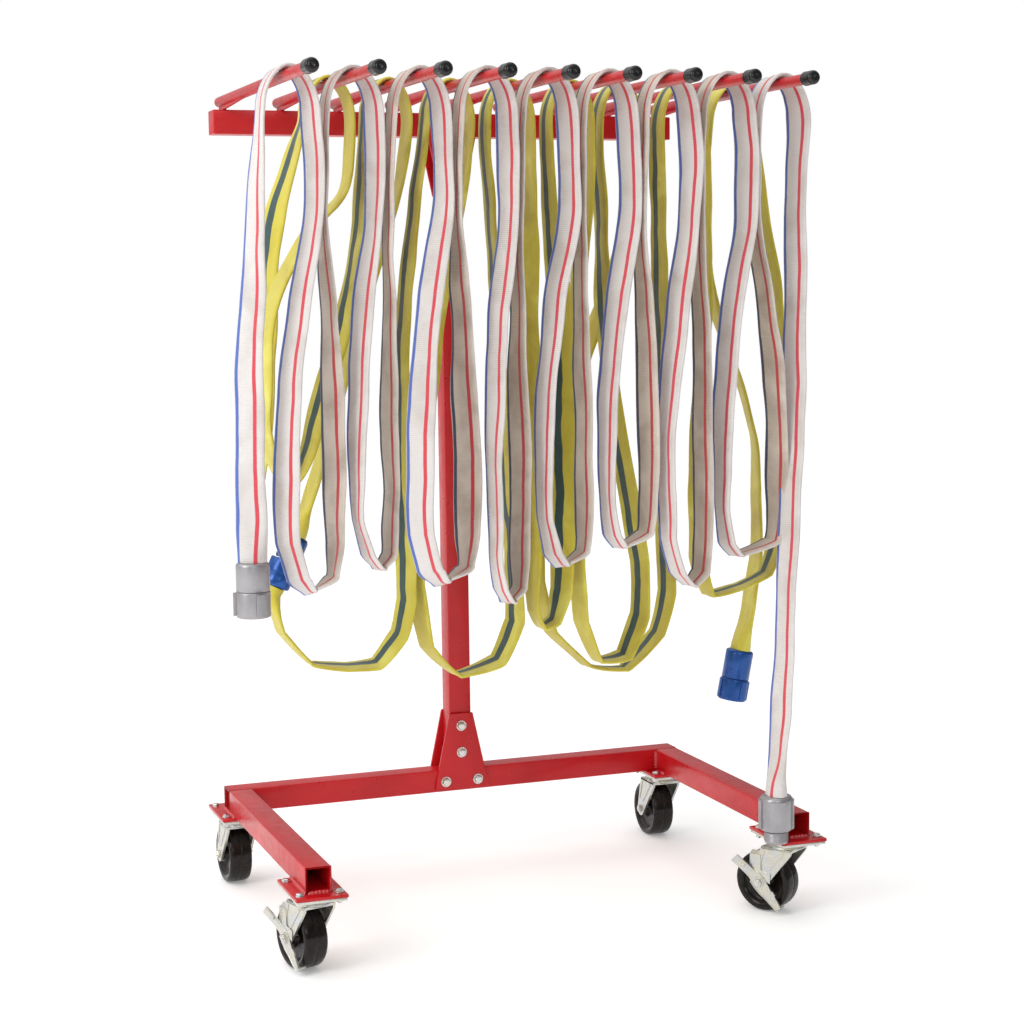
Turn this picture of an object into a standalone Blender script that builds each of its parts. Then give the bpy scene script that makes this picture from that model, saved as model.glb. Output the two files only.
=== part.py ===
"""Wheeled fire hose rack with nine pegs, carrying two lay-flat hoses in loops.

Units are metres, +Z is up, the front (peg tips) faces -Y and the floor is z = 0.
"""

import math

import bmesh
import bpy
from mathutils import Matrix, Vector

# ---- driving dimensions -------------------------------------------------
GAP = 0.0003
TUBE = 0.0508
WALL = 0.003
HALF_WIDTH = 0.534
LEG_REACH = 0.681
PAD_SIZE = (0.102, 0.150, 0.006)
FRONT_PAD_Y = -0.634
BASE_Z = 0.171
BAR_Z = 1.6335
BAR_HALF = 0.527
PLATE_T = 0.006
PLATE_FOOT = 0.061
PLATE_TOP = 0.0275
PLATE_H = 0.178

PEG_COUNT = 9
PEG_PITCH = 0.1257
PEG_R = 0.011
PEG_BORE = 0.009
PEG_BACK = 0.0213
PEG_FRONT = -0.7500
PEG_LIFT = 0.0077
WEB_HALF = 0.0025
WEB_FRONT = -0.215
CAP_R = 0.0143
CAP_LEN = 0.036
CAP_WALL = 0.003

WHEEL_R = 0.0635
WHEEL_HALF = 0.0254
TRAIL = 0.048
SWIVEL_TOP = 0.165
LEG_IN = 0.0290
LEG_OUT = 0.0340
AXLE_R = 0.006
CASTERS = {
    "front_left": (-1, FRONT_PAD_Y, -14.0),
    "front_right": (1, FRONT_PAD_Y, -32.0),
    "rear_left": (-1, 0.0, -3.0),
    "rear_right": (1, 0.0, 0.0),
}

HOSE_W = 0.067
HOSE_T = 0.008
ARCH_A = 0.047
ARCH_B = 0.085

# The whole rack is moved by this much, so that the origin is the middle of its floor area.
SHIFT_X = 0.0132
SHIFT_Y = 0.3206

# ---- hose routes --------------------------------------------------------
# Each loop of the white hose hangs between two neighbouring pegs:
# (down strand x at neck, at belly), (up strand x at neck, at belly), lowest z,
# forward place of the down and up strands, how far each strand is turned to the front,
# and how far the lowest point leans to the right, from -1 to 1.
WHITE_LOOPS = [
    ((-0.452, -0.520), (-0.430, -0.420), 0.725, -0.555, -0.535, 34, 28, -0.11),
    ((-0.335, -0.380), (-0.309, -0.305), 0.762, -0.550, -0.530, 4, 14, 0.2),
    ((-0.207, -0.272), (-0.181, -0.162), 0.735, -0.610, -0.570, 38, 36, -0.1),
    ((-0.079, -0.118), (-0.056, -0.058), 0.688, -0.605, -0.585, 2, 22, 0.0),
    ((0.050, -0.012), (0.074, 0.081), 0.752, -0.600, -0.580, 10, 10, -0.15),
    ((0.176, 0.122), (0.198, 0.219), 0.783, -0.600, -0.590, 6, 18, -0.36),
    ((0.302, 0.250), (0.326, 0.333), 0.700, -0.610, -0.600, 4, 15, 0.2),
    ((0.430, 0.375), (0.454, 0.507), 0.752, -0.600, -0.590, 2, 16, -0.45),
]
WHITE_DRAPE_Y = [-0.545, -0.540, -0.565, -0.590, -0.588, -0.590, -0.605, -0.600, -0.592]
NECK_Z = 1.455

LEFT_TAIL = [
    (-0.588, -0.545, 0.790, 0),
    (-0.588, -0.545, 0.815, 8),
    (-0.589, -0.545, 0.907, 34),
    (-0.586, -0.545, 1.094, 40),
    (-0.576, -0.545, 1.278, 36),
    (-0.567, -0.545, 1.404, 22),
]
RIGHT_TAIL = [
    (0.547, -0.594, 1.500, -8),
    (0.543, -0.596, 1.280, -16),
    (0.536, -0.606, 1.100, -18),
    (0.520, -0.626, 0.900, -14),
    (0.494, -0.653, 0.670, -10),
    (0.468, -0.680, 0.440, -8),
    (0.453, -0.694, 0.340, -4),
    (0.449, -0.698, 0.296, 0),
    (0.449, -0.698, 0.2705, 0),
]

# The left length of the yellow hose, from its hidden end to the joint.
YELLOW_LEFT_A = [
    (-0.508, -0.200, 0.770, 0),
    (-0.508, -0.200, 0.800, 0),
    (-0.488, -0.225, 1.000, 20),
    (-0.482, -0.255, 1.210, 28),
    (-0.478, -0.300, 1.400, 26),
    (-0.450, -0.350, 1.545, 12),
]
YELLOW_LEFT_B = [
    (-0.345, -0.385, 1.500, 0),
    (-0.420, -0.395, 1.420, -4),
    (-0.500, -0.395, 1.279, -12),
    (-0.520, -0.395, 1.123, -14),
    (-0.514, -0.395, 0.990, -10),
    (-0.478, -0.395, 0.918, 0),
    (-0.440, -0.395, 0.975, 12),
    (-0.404, -0.395, 1.101, 20),
    (-0.355, -0.390, 1.244, 14),
    (-0.322, -0.380, 1.400, 6),
]
YELLOW_LEFT_C = [
    (-0.224, -0.345, 1.500, 0),
    (-0.262, -0.325, 1.378, -6),
    (-0.318, -0.310, 1.201, -10),
    (-0.366, -0.302, 1.024, -8),
    (-0.404, -0.300, 0.905, -4),
    (-0.429, -0.300, 0.830, 0),
    (-0.440, -0.300, 0.806, 0),
]
# The right length of the yellow hose, from the joint to its coupling.
YELLOW_RIGHT_A = [
    (-0.4867, -0.300, 0.7042, 0),
    (-0.4942, -0.300, 0.6878, 0),
    (-0.478, -0.306, 0.612, 0),
    (-0.420, -0.322, 0.543, 0),
    (-0.350, -0.338, 0.534, 4),
    (-0.289, -0.350, 0.540, 8),
    (-0.243, -0.357, 0.598, 16),
    (-0.225, -0.360, 0.668, 22),
    (-0.226, -0.360, 0.760, 24),
    (-0.228, -0.360, 0.917, 18),
    (-0.228, -0.360, 1.080, 12),
    (-0.222, -0.362, 1.250, 10),
    (-0.202, -0.366, 1.420, 4),
]
YELLOW_LOOP_B = [
    (-0.094, -0.372, 1.500, 0),
    (-0.146, -0.366, 1.281, -10),
    (-0.174, -0.362, 1.078, -16),
    (-0.196, -0.360, 0.874, -20),
    (-0.206, -0.360, 0.700, -18),
    (-0.184, -0.360, 0.568, -8),
    (-0.118, -0.360, 0.504, 0),
    (-0.029, -0.360, 0.530, 8),
    (0.012, -0.360, 0.608, 16),
    (0.008, -0.362, 0.760, 14),
    (-0.010, -0.366, 0.950, 8),
    (-0.018, -0.372, 1.160, 4),
    (-0.034, -0.378, 1.400, 0),
]
YELLOW_LOOP_C = [
    (0.047, -0.382, 1.500, -6),
    (0.042, -0.380, 1.351, -22),
    (0.040, -0.378, 1.200, -26),
    (0.043, -0.378, 0.980, -20),
    (0.046, -0.378, 0.780, -12),
    (0.045, -0.378, 0.690, -8),
    (0.048, -0.378, 0.628, -2),
    (0.064, -0.378, 0.596, 0),
    (0.090, -0.378, 0.608, 8),
    (0.110, -0.378, 0.670, 24),
    (0.113, -0.378, 0.862, 38),
    (0.111, -0.380, 1.074, 36),
    (0.108, -0.384, 1.282, 26),
    (0.088, -0.392, 1.430, 8),
]
YELLOW_LOOP_D = [
    (0.170, -0.392, 1.500, -4),
    (0.152, -0.386, 1.320, -8),
    (0.143, -0.382, 1.074, -10),
    (0.143, -0.380, 0.862, -10),
    (0.147, -0.380, 0.690, -8),
    (0.153, -0.380, 0.600, -6),
    (0.190, -0.380, 0.514, 0),
    (0.254, -0.380, 0.520, 6),
    (0.288, -0.380, 0.606, 14),
    (0.287, -0.380, 0.720, 18),
    (0.263, -0.380, 0.860, 16),
    (0.238, -0.380, 1.010, 12),
    (0.212, -0.378, 1.243, 10),
    (0.208, -0.372, 1.420, 4),
]
YELLOW_LOOP_E = [
    (0.298, -0.345, 1.500, 0),
    (0.262, -0.310, 1.330, -6),
    (0.190, -0.292, 1.130, -10),
    (0.118, -0.288, 0.930, -12),
    (0.088, -0.288, 0.790, -14),
    (0.084, -0.288, 0.680, -14),
    (0.120, -0.288, 0.568, -6),
    (0.202, -0.290, 0.488, 0),
    (0.286, -0.297, 0.476, 0),
    (0.364, -0.304, 0.550, 8),
    (0.386, -0.308, 0.640, 12),
    (0.376, -0.315, 0.780, 12),
    (0.358, -0.340, 1.000, 10),
    (0.346, -0.368, 1.250, 8),
    (0.334, -0.385, 1.430, 2),
]
YELLOW_LOOP_F = [
    (0.426, -0.410, 1.500, 0),
    (0.424, -0.418, 1.280, -4),
    (0.414, -0.420, 1.070, -6),
    (0.404, -0.420, 0.870, -8),
    (0.404, -0.420, 0.725, -6),
    (0.430, -0.420, 0.644, 0),
    (0.506, -0.420, 0.657, 0),
    (0.566, -0.420, 0.684, 2),
    (0.592, -0.420, 0.748, 6),
    (0.598, -0.420, 0.850, 8),
    (0.598, -0.418, 1.066, 8),
    (0.590, -0.412, 1.284, 6),
    (0.568, -0.400, 1.450, 2),
]
YELLOW_TAIL = [
    (0.456, -0.340, 1.520, 0),
    (0.462, -0.332, 1.420, 6),
    (0.488, -0.328, 1.262, 10),
    (0.548, -0.328, 1.100, 14),
    (0.584, -0.328, 0.980, 12),
    (0.592, -0.330, 0.860, 10),
    (0.588, -0.330, 0.705, 6),
    (0.572, -0.330, 0.595, 2),
    (0.5565, -0.330, 0.5305, 0),
    (0.551, -0.330, 0.503, 0),
]

COUPLINGS = {
    "white_left": ((-0.588, -0.545, 0.7897), (0.0, 0.0, -1.0)),
    "white_right": ((0.449, -0.698, 0.2702), (0.0, 0.0, -1.0)),
    "yellow_right": ((0.55093, -0.330, 0.5027), (-0.196, 0.0, -0.981)),
    "yellow_joint": ((-0.44013, -0.300, 0.80573), (-0.4167, 0.0, -0.9091)),
    "yellow_left": ((-0.508, -0.200, 0.7697), (0.0, 0.0, -1.0)),
}


# ---- helpers ------------------------------------------------------------
def clear_scene():
    for obj in list(bpy.data.objects):
        bpy.data.objects.remove(obj, do_unlink=True)


def make_material(name, color, metallic, rough):
    mat = bpy.data.materials.new(name)
    mat.use_nodes = True
    bsdf = mat.node_tree.nodes["Principled BSDF"]
    bsdf.inputs["Base Color"].default_value = (*color, 1.0)
    bsdf.inputs["Metallic"].default_value = metallic
    bsdf.inputs["Roughness"].default_value = rough
    return mat


LOOKS = {
    "red": ((0.62, 0.02, 0.02), 0.1, 0.35),
    "cap": ((0.02, 0.02, 0.02), 0.0, 0.3),
    "zinc": ((0.65, 0.64, 0.58), 0.9, 0.4),
    "wheel": ((0.03, 0.025, 0.02), 0.0, 0.35),
    "white_jacket": ((0.75, 0.72, 0.68), 0.0, 0.9),
    "yellow_jacket": ((0.62, 0.55, 0.06), 0.0, 0.8),
    "grey_alloy": ((0.35, 0.34, 0.34), 0.8, 0.5),
    "blue_alloy": ((0.02, 0.08, 0.32), 0.7, 0.35),
}


def add_object(name, verts, faces, look):
    mesh = bpy.data.meshes.new(name)
    mesh.from_pydata([tuple(v) for v in verts], [], faces)
    bm = bmesh.new()
    bm.from_mesh(mesh)
    bmesh.ops.recalc_face_normals(bm, faces=bm.faces)
    bm.to_mesh(mesh)
    bm.free()
    obj = bpy.data.objects.new(name, mesh)
    bpy.context.scene.collection.objects.link(obj)
    mesh.materials.append(make_material(name + "_mat", *LOOKS[look]))
    return obj


def box_data(lo, hi):
    x0, y0, z0 = lo
    x1, y1, z1 = hi
    verts = [(x, y, z) for z in (z0, z1) for y in (y0, y1) for x in (x0, x1)]
    faces = [(0, 2, 3, 1), (4, 5, 7, 6), (0, 1, 5, 4), (2, 6, 7, 3), (0, 4, 6, 2), (1, 3, 7, 5)]
    return verts, faces


def square_tube(name, axis, start, end, mid, look="red"):
    """A hollow square tube, open at both ends, along X, Y or Z."""
    h = TUBE / 2
    i = h - WALL
    ring = [(-h, -h), (h, -h), (h, h), (-h, h), (-i, -i), (i, -i), (i, i), (-i, i)]
    verts = []
    for place in (start, end):
        for a, b in ring:
            if axis == "X":
                verts.append((place, mid[0] + a, mid[1] + b))
            elif axis == "Y":
                verts.append((mid[0] + a, place, mid[1] + b))
            else:
                verts.append((mid[0] + a, mid[1] + b, place))
    faces = []
    for k in range(4):
        n = (k + 1) % 4
        faces.append((k, n, 8 + n, 8 + k))
        faces.append((4 + k, 12 + k, 12 + n, 4 + n))
        faces.append((k, 4 + k, 4 + n, n))
        faces.append((8 + k, 8 + n, 12 + n, 12 + k))
    return add_object(name, verts, faces, look)


def crossbar(name):
    """A square tube closed at both ends, with a drain slot in its underside."""
    h = TUBE / 2
    i = h - WALL
    zc = BAR_Z + h
    outer, _ = box_data((-BAR_HALF, -h, zc - h), (BAR_HALF, h, zc + h))
    inner, _ = box_data((-BAR_HALF + WALL, -i, zc - i), (BAR_HALF - WALL, i, zc + i))
    hx0, hx1, hy = 0.30, 0.312, 0.006
    low = [(hx0, -hy, zc - h), (hx1, -hy, zc - h), (hx0, hy, zc - h), (hx1, hy, zc - h)]
    high = [(x, y, zc - i) for x, y, _ in low]
    verts = outer + inner + low + high
    faces = []
    for base in (0, 8):
        faces.append((base + 4, base + 5, base + 7, base + 6))
        faces.append((base, base + 1, base + 5, base + 4))
        faces.append((base + 2, base + 6, base + 7, base + 3))
        faces.append((base, base + 4, base + 6, base + 2))
        faces.append((base + 1, base + 3, base + 7, base + 5))
    for base, hole in ((0, 16), (8, 20)):
        faces.append((base, base + 1, hole + 1, hole))
        faces.append((base + 1, base + 3, hole + 3, hole + 1))
        faces.append((base + 3, base + 2, hole + 2, hole + 3))
        faces.append((base + 2, base, hole, hole + 2))
    for a, b in ((16, 17), (17, 19), (19, 18), (18, 16)):
        faces.append((a, b, b + 4, a + 4))
    return add_object(name, verts, faces, "red")


def lathe(name, profile, look, frame, segments=24, closed=False):
    """Turn a profile of (radius, height) about the frame's own Z axis."""
    verts = []
    rings = []
    for r, z in profile:
        if r < 1e-9:
            rings.append([len(verts)])
            verts.append(frame @ Vector((0.0, 0.0, z)))
            continue
        rings.append(list(range(len(verts), len(verts) + segments)))
        for k in range(segments):
            a = 2 * math.pi * k / segments
            verts.append(frame @ Vector((r * math.cos(a), r * math.sin(a), z)))
    pairs = list(zip(rings, rings[1:]))
    if closed:
        pairs.append((rings[-1], rings[0]))
    faces = []
    for a, b in pairs:
        for k in range(segments):
            n = (k + 1) % segments
            if len(a) == 1:
                faces.append((a[0], b[k], b[n]))
            elif len(b) == 1:
                faces.append((a[k], b[0], a[n]))
            else:
                faces.append((a[k], b[k], b[n], a[n]))
    return add_object(name, verts, faces, look)


def frame_from(origin, axis):
    """A frame at the origin point whose Z runs along the axis."""
    z = Vector(axis).normalized()
    side = Vector((0.0, 1.0, 0.0))
    x = side.cross(z).normalized()
    y = z.cross(x)
    rot = Matrix((x, y, z)).transposed().to_4x4()
    return Matrix.Translation(Vector(origin)) @ rot


def boolean(obj, cutter, operation):
    mod = obj.modifiers.new(operation.lower() + "_" + cutter.name, "BOOLEAN")
    mod.operation = operation
    mod.solver = "EXACT"
    mod.object = cutter
    cutter.hide_render = True
    cutter.display_type = "WIRE"


# ---- rack ---------------------------------------------------------------
def build_base():
    h = TUBE / 2
    zc = BASE_Z + h
    square_tube("rear_beam", "X", -HALF_WIDTH, HALF_WIDTH, (0.0, zc))
    for side, tag in ((-1, "left"), (1, "right")):
        xc = side * (HALF_WIDTH - h)
        square_tube("leg_" + tag, "Y", -LEG_REACH, -h - GAP, (xc, zc))


def build_pads():
    w, d, t = PAD_SIZE
    for tag, (side, y, _) in CASTERS.items():
        xc = side * (HALF_WIDTH - TUBE / 2)
        lo = (xc - w / 2, y - d / 2, BASE_Z - GAP - t)
        hi = (xc + w / 2, y + d / 2, BASE_Z - GAP)
        add_object("pad_" + tag, *box_data(lo, hi), "red")


def build_post():
    square_tube("post", "Z", BASE_Z + TUBE + GAP, BAR_Z - GAP, (0.0, 0.0))
    crossbar("crossbar")


def build_plates():
    """Four gusset plates, two at the foot of the post and two under the crossbar."""
    h = TUBE / 2
    low = [(-PLATE_FOOT, 0.005), (PLATE_FOOT, 0.005), (PLATE_FOOT, 0.022)]
    low += [(PLATE_TOP, PLATE_H), (-PLATE_TOP, PLATE_H), (-PLATE_FOOT, 0.022)]
    for end in ("foot", "head"):
        for tag, y0 in (("front", -h - GAP - PLATE_T), ("rear", h + GAP)):
            verts = []
            for y in (y0, y0 + PLATE_T):
                for x, z in low:
                    zz = BASE_Z + z if end == "foot" else BAR_Z + TUBE - z
                    verts.append((x, y, zz))
            n = len(low)
            faces = [tuple(range(n)), tuple(range(2 * n - 1, n - 1, -1))]
            for k in range(n):
                m = (k + 1) % n
                faces.append((k, n + k, n + m, m))
            add_object("plate_" + end + "_" + tag, verts, faces, "red")


def peg_x(k):
    return (k - (PEG_COUNT - 1) / 2) * PEG_PITCH


def peg_z():
    """Height of the pegs' axes."""
    return BAR_Z + TUBE + PEG_LIFT + PEG_R


def build_pegs():
    length = PEG_BACK - PEG_FRONT
    for k in range(PEG_COUNT):
        frame = frame_along_y(Vector((peg_x(k), PEG_BACK, peg_z())), Vector((0.0, -1.0, 0.0)))
        ring = [(PEG_R, 0.0), (PEG_R, length), (PEG_BORE, length), (PEG_BORE, 0.0)]
        peg = lathe("peg_%d" % (k + 1), ring, "red", frame, 16, True)
        boolean(peg, peg_web(k), "UNION")
        inside = PEG_R + GAP
        cup = [
            (0.0, length + GAP),
            (inside, length + GAP),
            (inside, length + GAP + CAP_WALL - CAP_LEN),
            (CAP_R - 0.001, length + GAP + CAP_WALL - CAP_LEN),
            (CAP_R, length + GAP + CAP_WALL - CAP_LEN + 0.001),
            (CAP_R, length + GAP + CAP_WALL - 0.003),
            (CAP_R - 0.003, length + GAP + CAP_WALL),
            (0.0, length + GAP + CAP_WALL),
        ]
        lathe("cap_%d" % (k + 1), cup, "cap", frame, 16)


def peg_web(k):
    """The thin wedge that carries a peg on the crossbar; its top ends inside the peg's wall."""
    foot = BAR_Z + TUBE + GAP
    top = peg_z() - 0.0098
    side = [(0.018, foot), (-0.024, foot), (WEB_FRONT, top - 0.0005), (WEB_FRONT, top), (0.018, top)]
    verts = []
    for x in (peg_x(k) - WEB_HALF, peg_x(k) + WEB_HALF):
        verts += [(x, y, z) for y, z in side]
    n = len(side)
    faces = [tuple(range(n)), tuple(range(2 * n - 1, n - 1, -1))]
    for j in range(n):
        m = (j + 1) % n
        faces.append((j, n + j, n + m, m))
    return add_object("web_cutter_%d" % (k + 1), verts, faces, "red")


def frame_along_y(origin, axis):
    z = axis.normalized()
    x = Vector((1.0, 0.0, 0.0))
    y = z.cross(x).normalized()
    rot = Matrix((x, y, z)).transposed().to_4x4()
    return Matrix.Translation(origin) @ rot


# ---- casters ------------------------------------------------------------
def caster_frame(tag):
    side, y, heading = CASTERS[tag]
    xc = side * (HALF_WIDTH - TUBE / 2)
    turn = Matrix.Rotation(-math.radians(heading), 4, "Z")
    return Matrix.Translation((xc, y, 0.0)) @ turn


def moved(verts, frame):
    return [frame @ Vector(v) for v in verts]


def build_caster_plate(tag):
    side, y, _ = CASTERS[tag]
    xc = side * (HALF_WIDTH - TUBE / 2)
    top = SWIVEL_TOP - 2 * GAP
    lo = (xc - 0.049, y - 0.073, top - 0.006)
    hi = (xc + 0.049, y + 0.073, top)
    obj = add_object("caster_plate_" + tag, *box_data(lo, hi), "zinc")
    boss = [(0.0, 0.1485), (0.031, 0.1485), (0.034, 0.1515), (0.034, 0.160), (0.0, 0.160)]
    frame = Matrix.Translation((xc, y, 0.0))
    cutter = lathe("race_" + tag, boss, "zinc", frame, 24)
    boolean(obj, cutter, "UNION")


def fork_data():
    """An inverted U of sheet, wide at the crown and narrow at the axle."""
    top_out, top_in = 0.1410, 0.1360
    low = WHEEL_R - 0.018
    outline = [
        (-LEG_OUT, low), (-LEG_OUT, top_out), (LEG_OUT, top_out), (LEG_OUT, low),
        (LEG_IN, low), (LEG_IN, top_in), (-LEG_IN, top_in), (-LEG_IN, low),
    ]
    verts = []
    for back in (False, True):
        for x, z in outline:
            if z > 0.1:
                y = 0.044 if back else -0.028
            else:
                y = TRAIL + 0.016 if back else TRAIL - 0.016
            verts.append((x, y, z))
    quads = [(0, 1, 6, 7), (1, 2, 5, 6), (2, 3, 4, 5)]
    faces = [q for q in quads]
    faces += [tuple(8 + i for i in reversed(q)) for q in quads]
    for k in range(8):
        n = (k + 1) % 8
        faces.append((k, 8 + k, 8 + n, n))
    return verts, faces


def build_fork(tag):
    frame = caster_frame(tag)
    verts, faces = fork_data()
    obj = add_object("fork_" + tag, moved(verts, frame), faces, "zinc")
    crown = [(0.0, 0.1385), (0.033, 0.1385), (0.036, 0.1410), (0.036, 0.1455)]
    crown += [(0.033, 0.1482), (0.0, 0.1482)]
    cutter = lathe("crown_" + tag, crown, "zinc", frame, 24)
    boolean(obj, cutter, "UNION")
    bore = [(0.0, -0.05), (AXLE_R + GAP, -0.05), (AXLE_R + GAP, 0.05), (0.0, 0.05)]
    drill = lathe("fork_bore_" + tag, bore, "zinc", axle_frame(tag), 12)
    boolean(obj, drill, "DIFFERENCE")


def axle_frame(tag):
    """A frame at the axle centre whose Z runs along the axle, to the caster's right."""
    x = Vector((0.0, 1.0, 0.0))
    y = Vector((0.0, 0.0, 1.0))
    z = Vector((1.0, 0.0, 0.0))
    rot = Matrix((x, y, z)).transposed().to_4x4()
    return caster_frame(tag) @ Matrix.Translation((0.0, TRAIL, WHEEL_R)) @ rot


def build_wheel(tag):
    bore = AXLE_R + GAP
    half = WHEEL_HALF
    one = [
        (bore, 0.0275), (0.0170, 0.0275), (0.0190, 0.0150), (0.0440, 0.0150),
        (0.0500, 0.0235), (0.0560, half), (0.0605, 0.0225), (WHEEL_R, 0.0160),
    ]
    profile = one + [(r, -z) for r, z in reversed(one)]
    lathe("wheel_" + tag, profile, "wheel", axle_frame(tag), 28, True)


def build_axle(tag):
    left = LEG_OUT + GAP
    if tag.startswith("front"):
        left += 0.003 + GAP
    right = LEG_OUT + GAP
    profile = [
        (0.0, -left - 0.007), (0.0085, -left - 0.007), (0.0100, -left - 0.0055),
        (0.0100, -left), (AXLE_R, -left), (AXLE_R, right), (0.0100, right),
        (0.0100, right + 0.0055), (0.0085, right + 0.007), (0.0, right + 0.007),
    ]
    lathe("axle_" + tag, profile, "zinc", axle_frame(tag), 12)


def build_brake(tag):
    """A pressed lever on the outer side of the fork, turning about the axle."""
    along = Vector((0.0, 0.695, 0.719))
    across = Vector((0.0, -0.719, 0.695))
    out = Vector((-1.0, 0.0, 0.0))
    mid = LEG_OUT + GAP + 0.0015
    stations = [
        (-0.070, mid, 0.007), (-0.056, mid, 0.010), (-0.024, mid, 0.013),
        (-0.018, mid, 0.017), (0.014, mid, 0.016), (0.024, mid + 0.001, 0.011),
        (0.044, mid + 0.007, 0.010), (0.068, mid + 0.017, 0.011),
    ]
    centre = Vector((0.0, TRAIL, WHEEL_R))
    verts = []
    for k, (s, x, w) in enumerate(stations):
        a = stations[max(k - 1, 0)]
        b = stations[min(k + 1, len(stations) - 1)]
        run = (along * (b[0] - a[0]) + out * (b[1] - a[1])).normalized()
        normal = across.cross(run).normalized()
        if normal.dot(out) < 0:
            normal = -normal
        p = centre + along * s + out * x
        for su, sv in ((-1, -1), (1, -1), (1, 1), (-1, 1)):
            verts.append(p + across * (w * su) + normal * (0.0015 * sv))
    faces = [(0, 1, 2, 3)]
    last = 4 * (len(stations) - 1)
    faces.append((last + 3, last + 2, last + 1, last))
    for k in range(len(stations) - 1):
        for j in range(4):
            n = (j + 1) % 4
            faces.append((4 * k + j, 4 * k + 4 + j, 4 * k + 4 + n, 4 * k + n))
    frame = caster_frame(tag)
    obj = add_object("brake_lever_" + tag, moved(verts, frame), faces, "zinc")
    bore = [(0.0, -0.045), (AXLE_R + GAP, -0.045), (AXLE_R + GAP, -0.030), (0.0, -0.030)]
    drill = lathe("lever_bore_" + tag, bore, "zinc", axle_frame(tag), 12)
    boolean(obj, drill, "DIFFERENCE")


def build_casters():
    for tag in CASTERS:
        build_caster_plate(tag)
        build_fork(tag)
        build_wheel(tag)
        build_axle(tag)
    build_brake("front_left")
    build_brake("front_right")


# ---- hoses --------------------------------------------------------------
def arch(k, y_in, y_out, direction=1):
    """The half ellipse a hose makes over peg k, from one side to the other."""
    points = []
    for step in range(9):
        a = math.pi * step / 8
        x = peg_x(k) - direction * ARCH_A * math.cos(a)
        y = y_in + (y_out - y_in) * step / 8
        top = peg_z() + PEG_R + GAP + HOSE_T / 2 + 0.0010
        z = top - ARCH_B * (1 - math.sin(a))
        points.append((x, y, z, 0.0))
    return points


def white_loop(k):
    (dn, db), (un, ub), low, yd, yu, td, tu, lean = WHITE_LOOPS[k]
    y0 = WHITE_DRAPE_Y[k] - 0.006
    y1 = WHITE_DRAPE_Y[k + 1] + 0.006
    mid = (db + ub) / 2
    half = (ub - db) / 2
    ym = (yd + yu) / 2
    points = [
        (dn, y0 + (yd - y0) * 0.3, NECK_Z, 0.0),
        (dn + (db - dn) * 0.55, y0 + (yd - y0) * 0.7, 1.270, -td * 0.5),
        (dn + (db - dn) * 0.90, yd, 1.090, -td * 0.9),
        (db, yd, 0.935, -td),
        (db + 0.001, yd, low + 0.098, -td * 0.8),
        (mid - half * 0.55 * (1.0 - lean), (yd + ym) / 2, low + 0.026, -td * 0.3),
        (mid + half * lean, ym, low, 0.0),
        (mid + half * 0.82, (yu + ym) / 2, low + 0.026, tu * 0.3),
        (ub - 0.001, yu, low + 0.090, tu * 0.8),
        (ub, yu, 0.935, tu),
        (ub + (un - ub) * 0.15, yu, 1.090, tu * 0.9),
        (ub + (un - ub) * 0.50, yu + (y1 - yu) * 0.5, 1.270, tu * 0.4),
        (un, yu + (y1 - yu) * 0.8, NECK_Z, 0.0),
    ]
    return points


def white_route():
    route = list(LEFT_TAIL)
    for k in range(PEG_COUNT):
        y = WHITE_DRAPE_Y[k]
        route += arch(k, y + 0.006, y - 0.006)
        if k < PEG_COUNT - 1:
            route += white_loop(k)
    return route + RIGHT_TAIL


def yellow_left_route():
    route = YELLOW_LEFT_A + arch(1, -0.370, -0.380) + YELLOW_LEFT_B
    return route + arch(2, -0.370, -0.355) + YELLOW_LEFT_C


def yellow_right_route():
    route = YELLOW_RIGHT_A + arch(3, -0.370, -0.374) + YELLOW_LOOP_B
    route += arch(4, -0.380, -0.384) + YELLOW_LOOP_C
    route += arch(5, -0.398, -0.396) + YELLOW_LOOP_D
    route += arch(6, -0.366, -0.356) + YELLOW_LOOP_E
    route += arch(7, -0.392, -0.404) + YELLOW_LOOP_F
    return route + arch(8, -0.380, -0.360, -1) + YELLOW_TAIL


def smooth(points, step=0.006):
    """A centripetal Catmull-Rom curve through the points, sampled closely."""
    pts = [Vector(p[:3]) for p in points]
    turn = [p[3] for p in points]
    pts = [pts[0] * 2 - pts[1]] + pts + [pts[-1] * 2 - pts[-2]]
    line = []
    for i in range(1, len(pts) - 2):
        p0, p1, p2, p3 = pts[i - 1], pts[i], pts[i + 1], pts[i + 2]
        t1 = max((p1 - p0).length, 1e-6) ** 0.5
        t2 = t1 + max((p2 - p1).length, 1e-6) ** 0.5
        t3 = t2 + max((p3 - p2).length, 1e-6) ** 0.5
        count = max(2, int((p2 - p1).length / step))
        for s in range(count):
            t = t1 + (t2 - t1) * s / count
            a1 = p0 * ((t1 - t) / t1) + p1 * (t / t1)
            a2 = p1 * ((t2 - t) / (t2 - t1)) + p2 * ((t - t1) / (t2 - t1))
            a3 = p2 * ((t3 - t) / (t3 - t2)) + p3 * ((t - t2) / (t3 - t2))
            b1 = a1 * ((t2 - t) / t2) + a2 * (t / t2)
            b2 = a2 * ((t3 - t) / (t3 - t1)) + a3 * ((t - t1) / (t3 - t1))
            p = b1 * ((t2 - t) / (t2 - t1)) + b2 * ((t - t1) / (t2 - t1))
            f = s / count
            f = f * f * (3 - 2 * f)
            line.append((p, turn[i - 1] + (turn[i] - turn[i - 1]) * f))
    line.append((pts[-2], turn[-1]))
    return line


def tangents(line):
    out = []
    for i in range(len(line)):
        a = line[max(i - 1, 0)][0]
        b = line[min(i + 1, len(line) - 1)][0]
        out.append((b - a).normalized())
    return out


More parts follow.
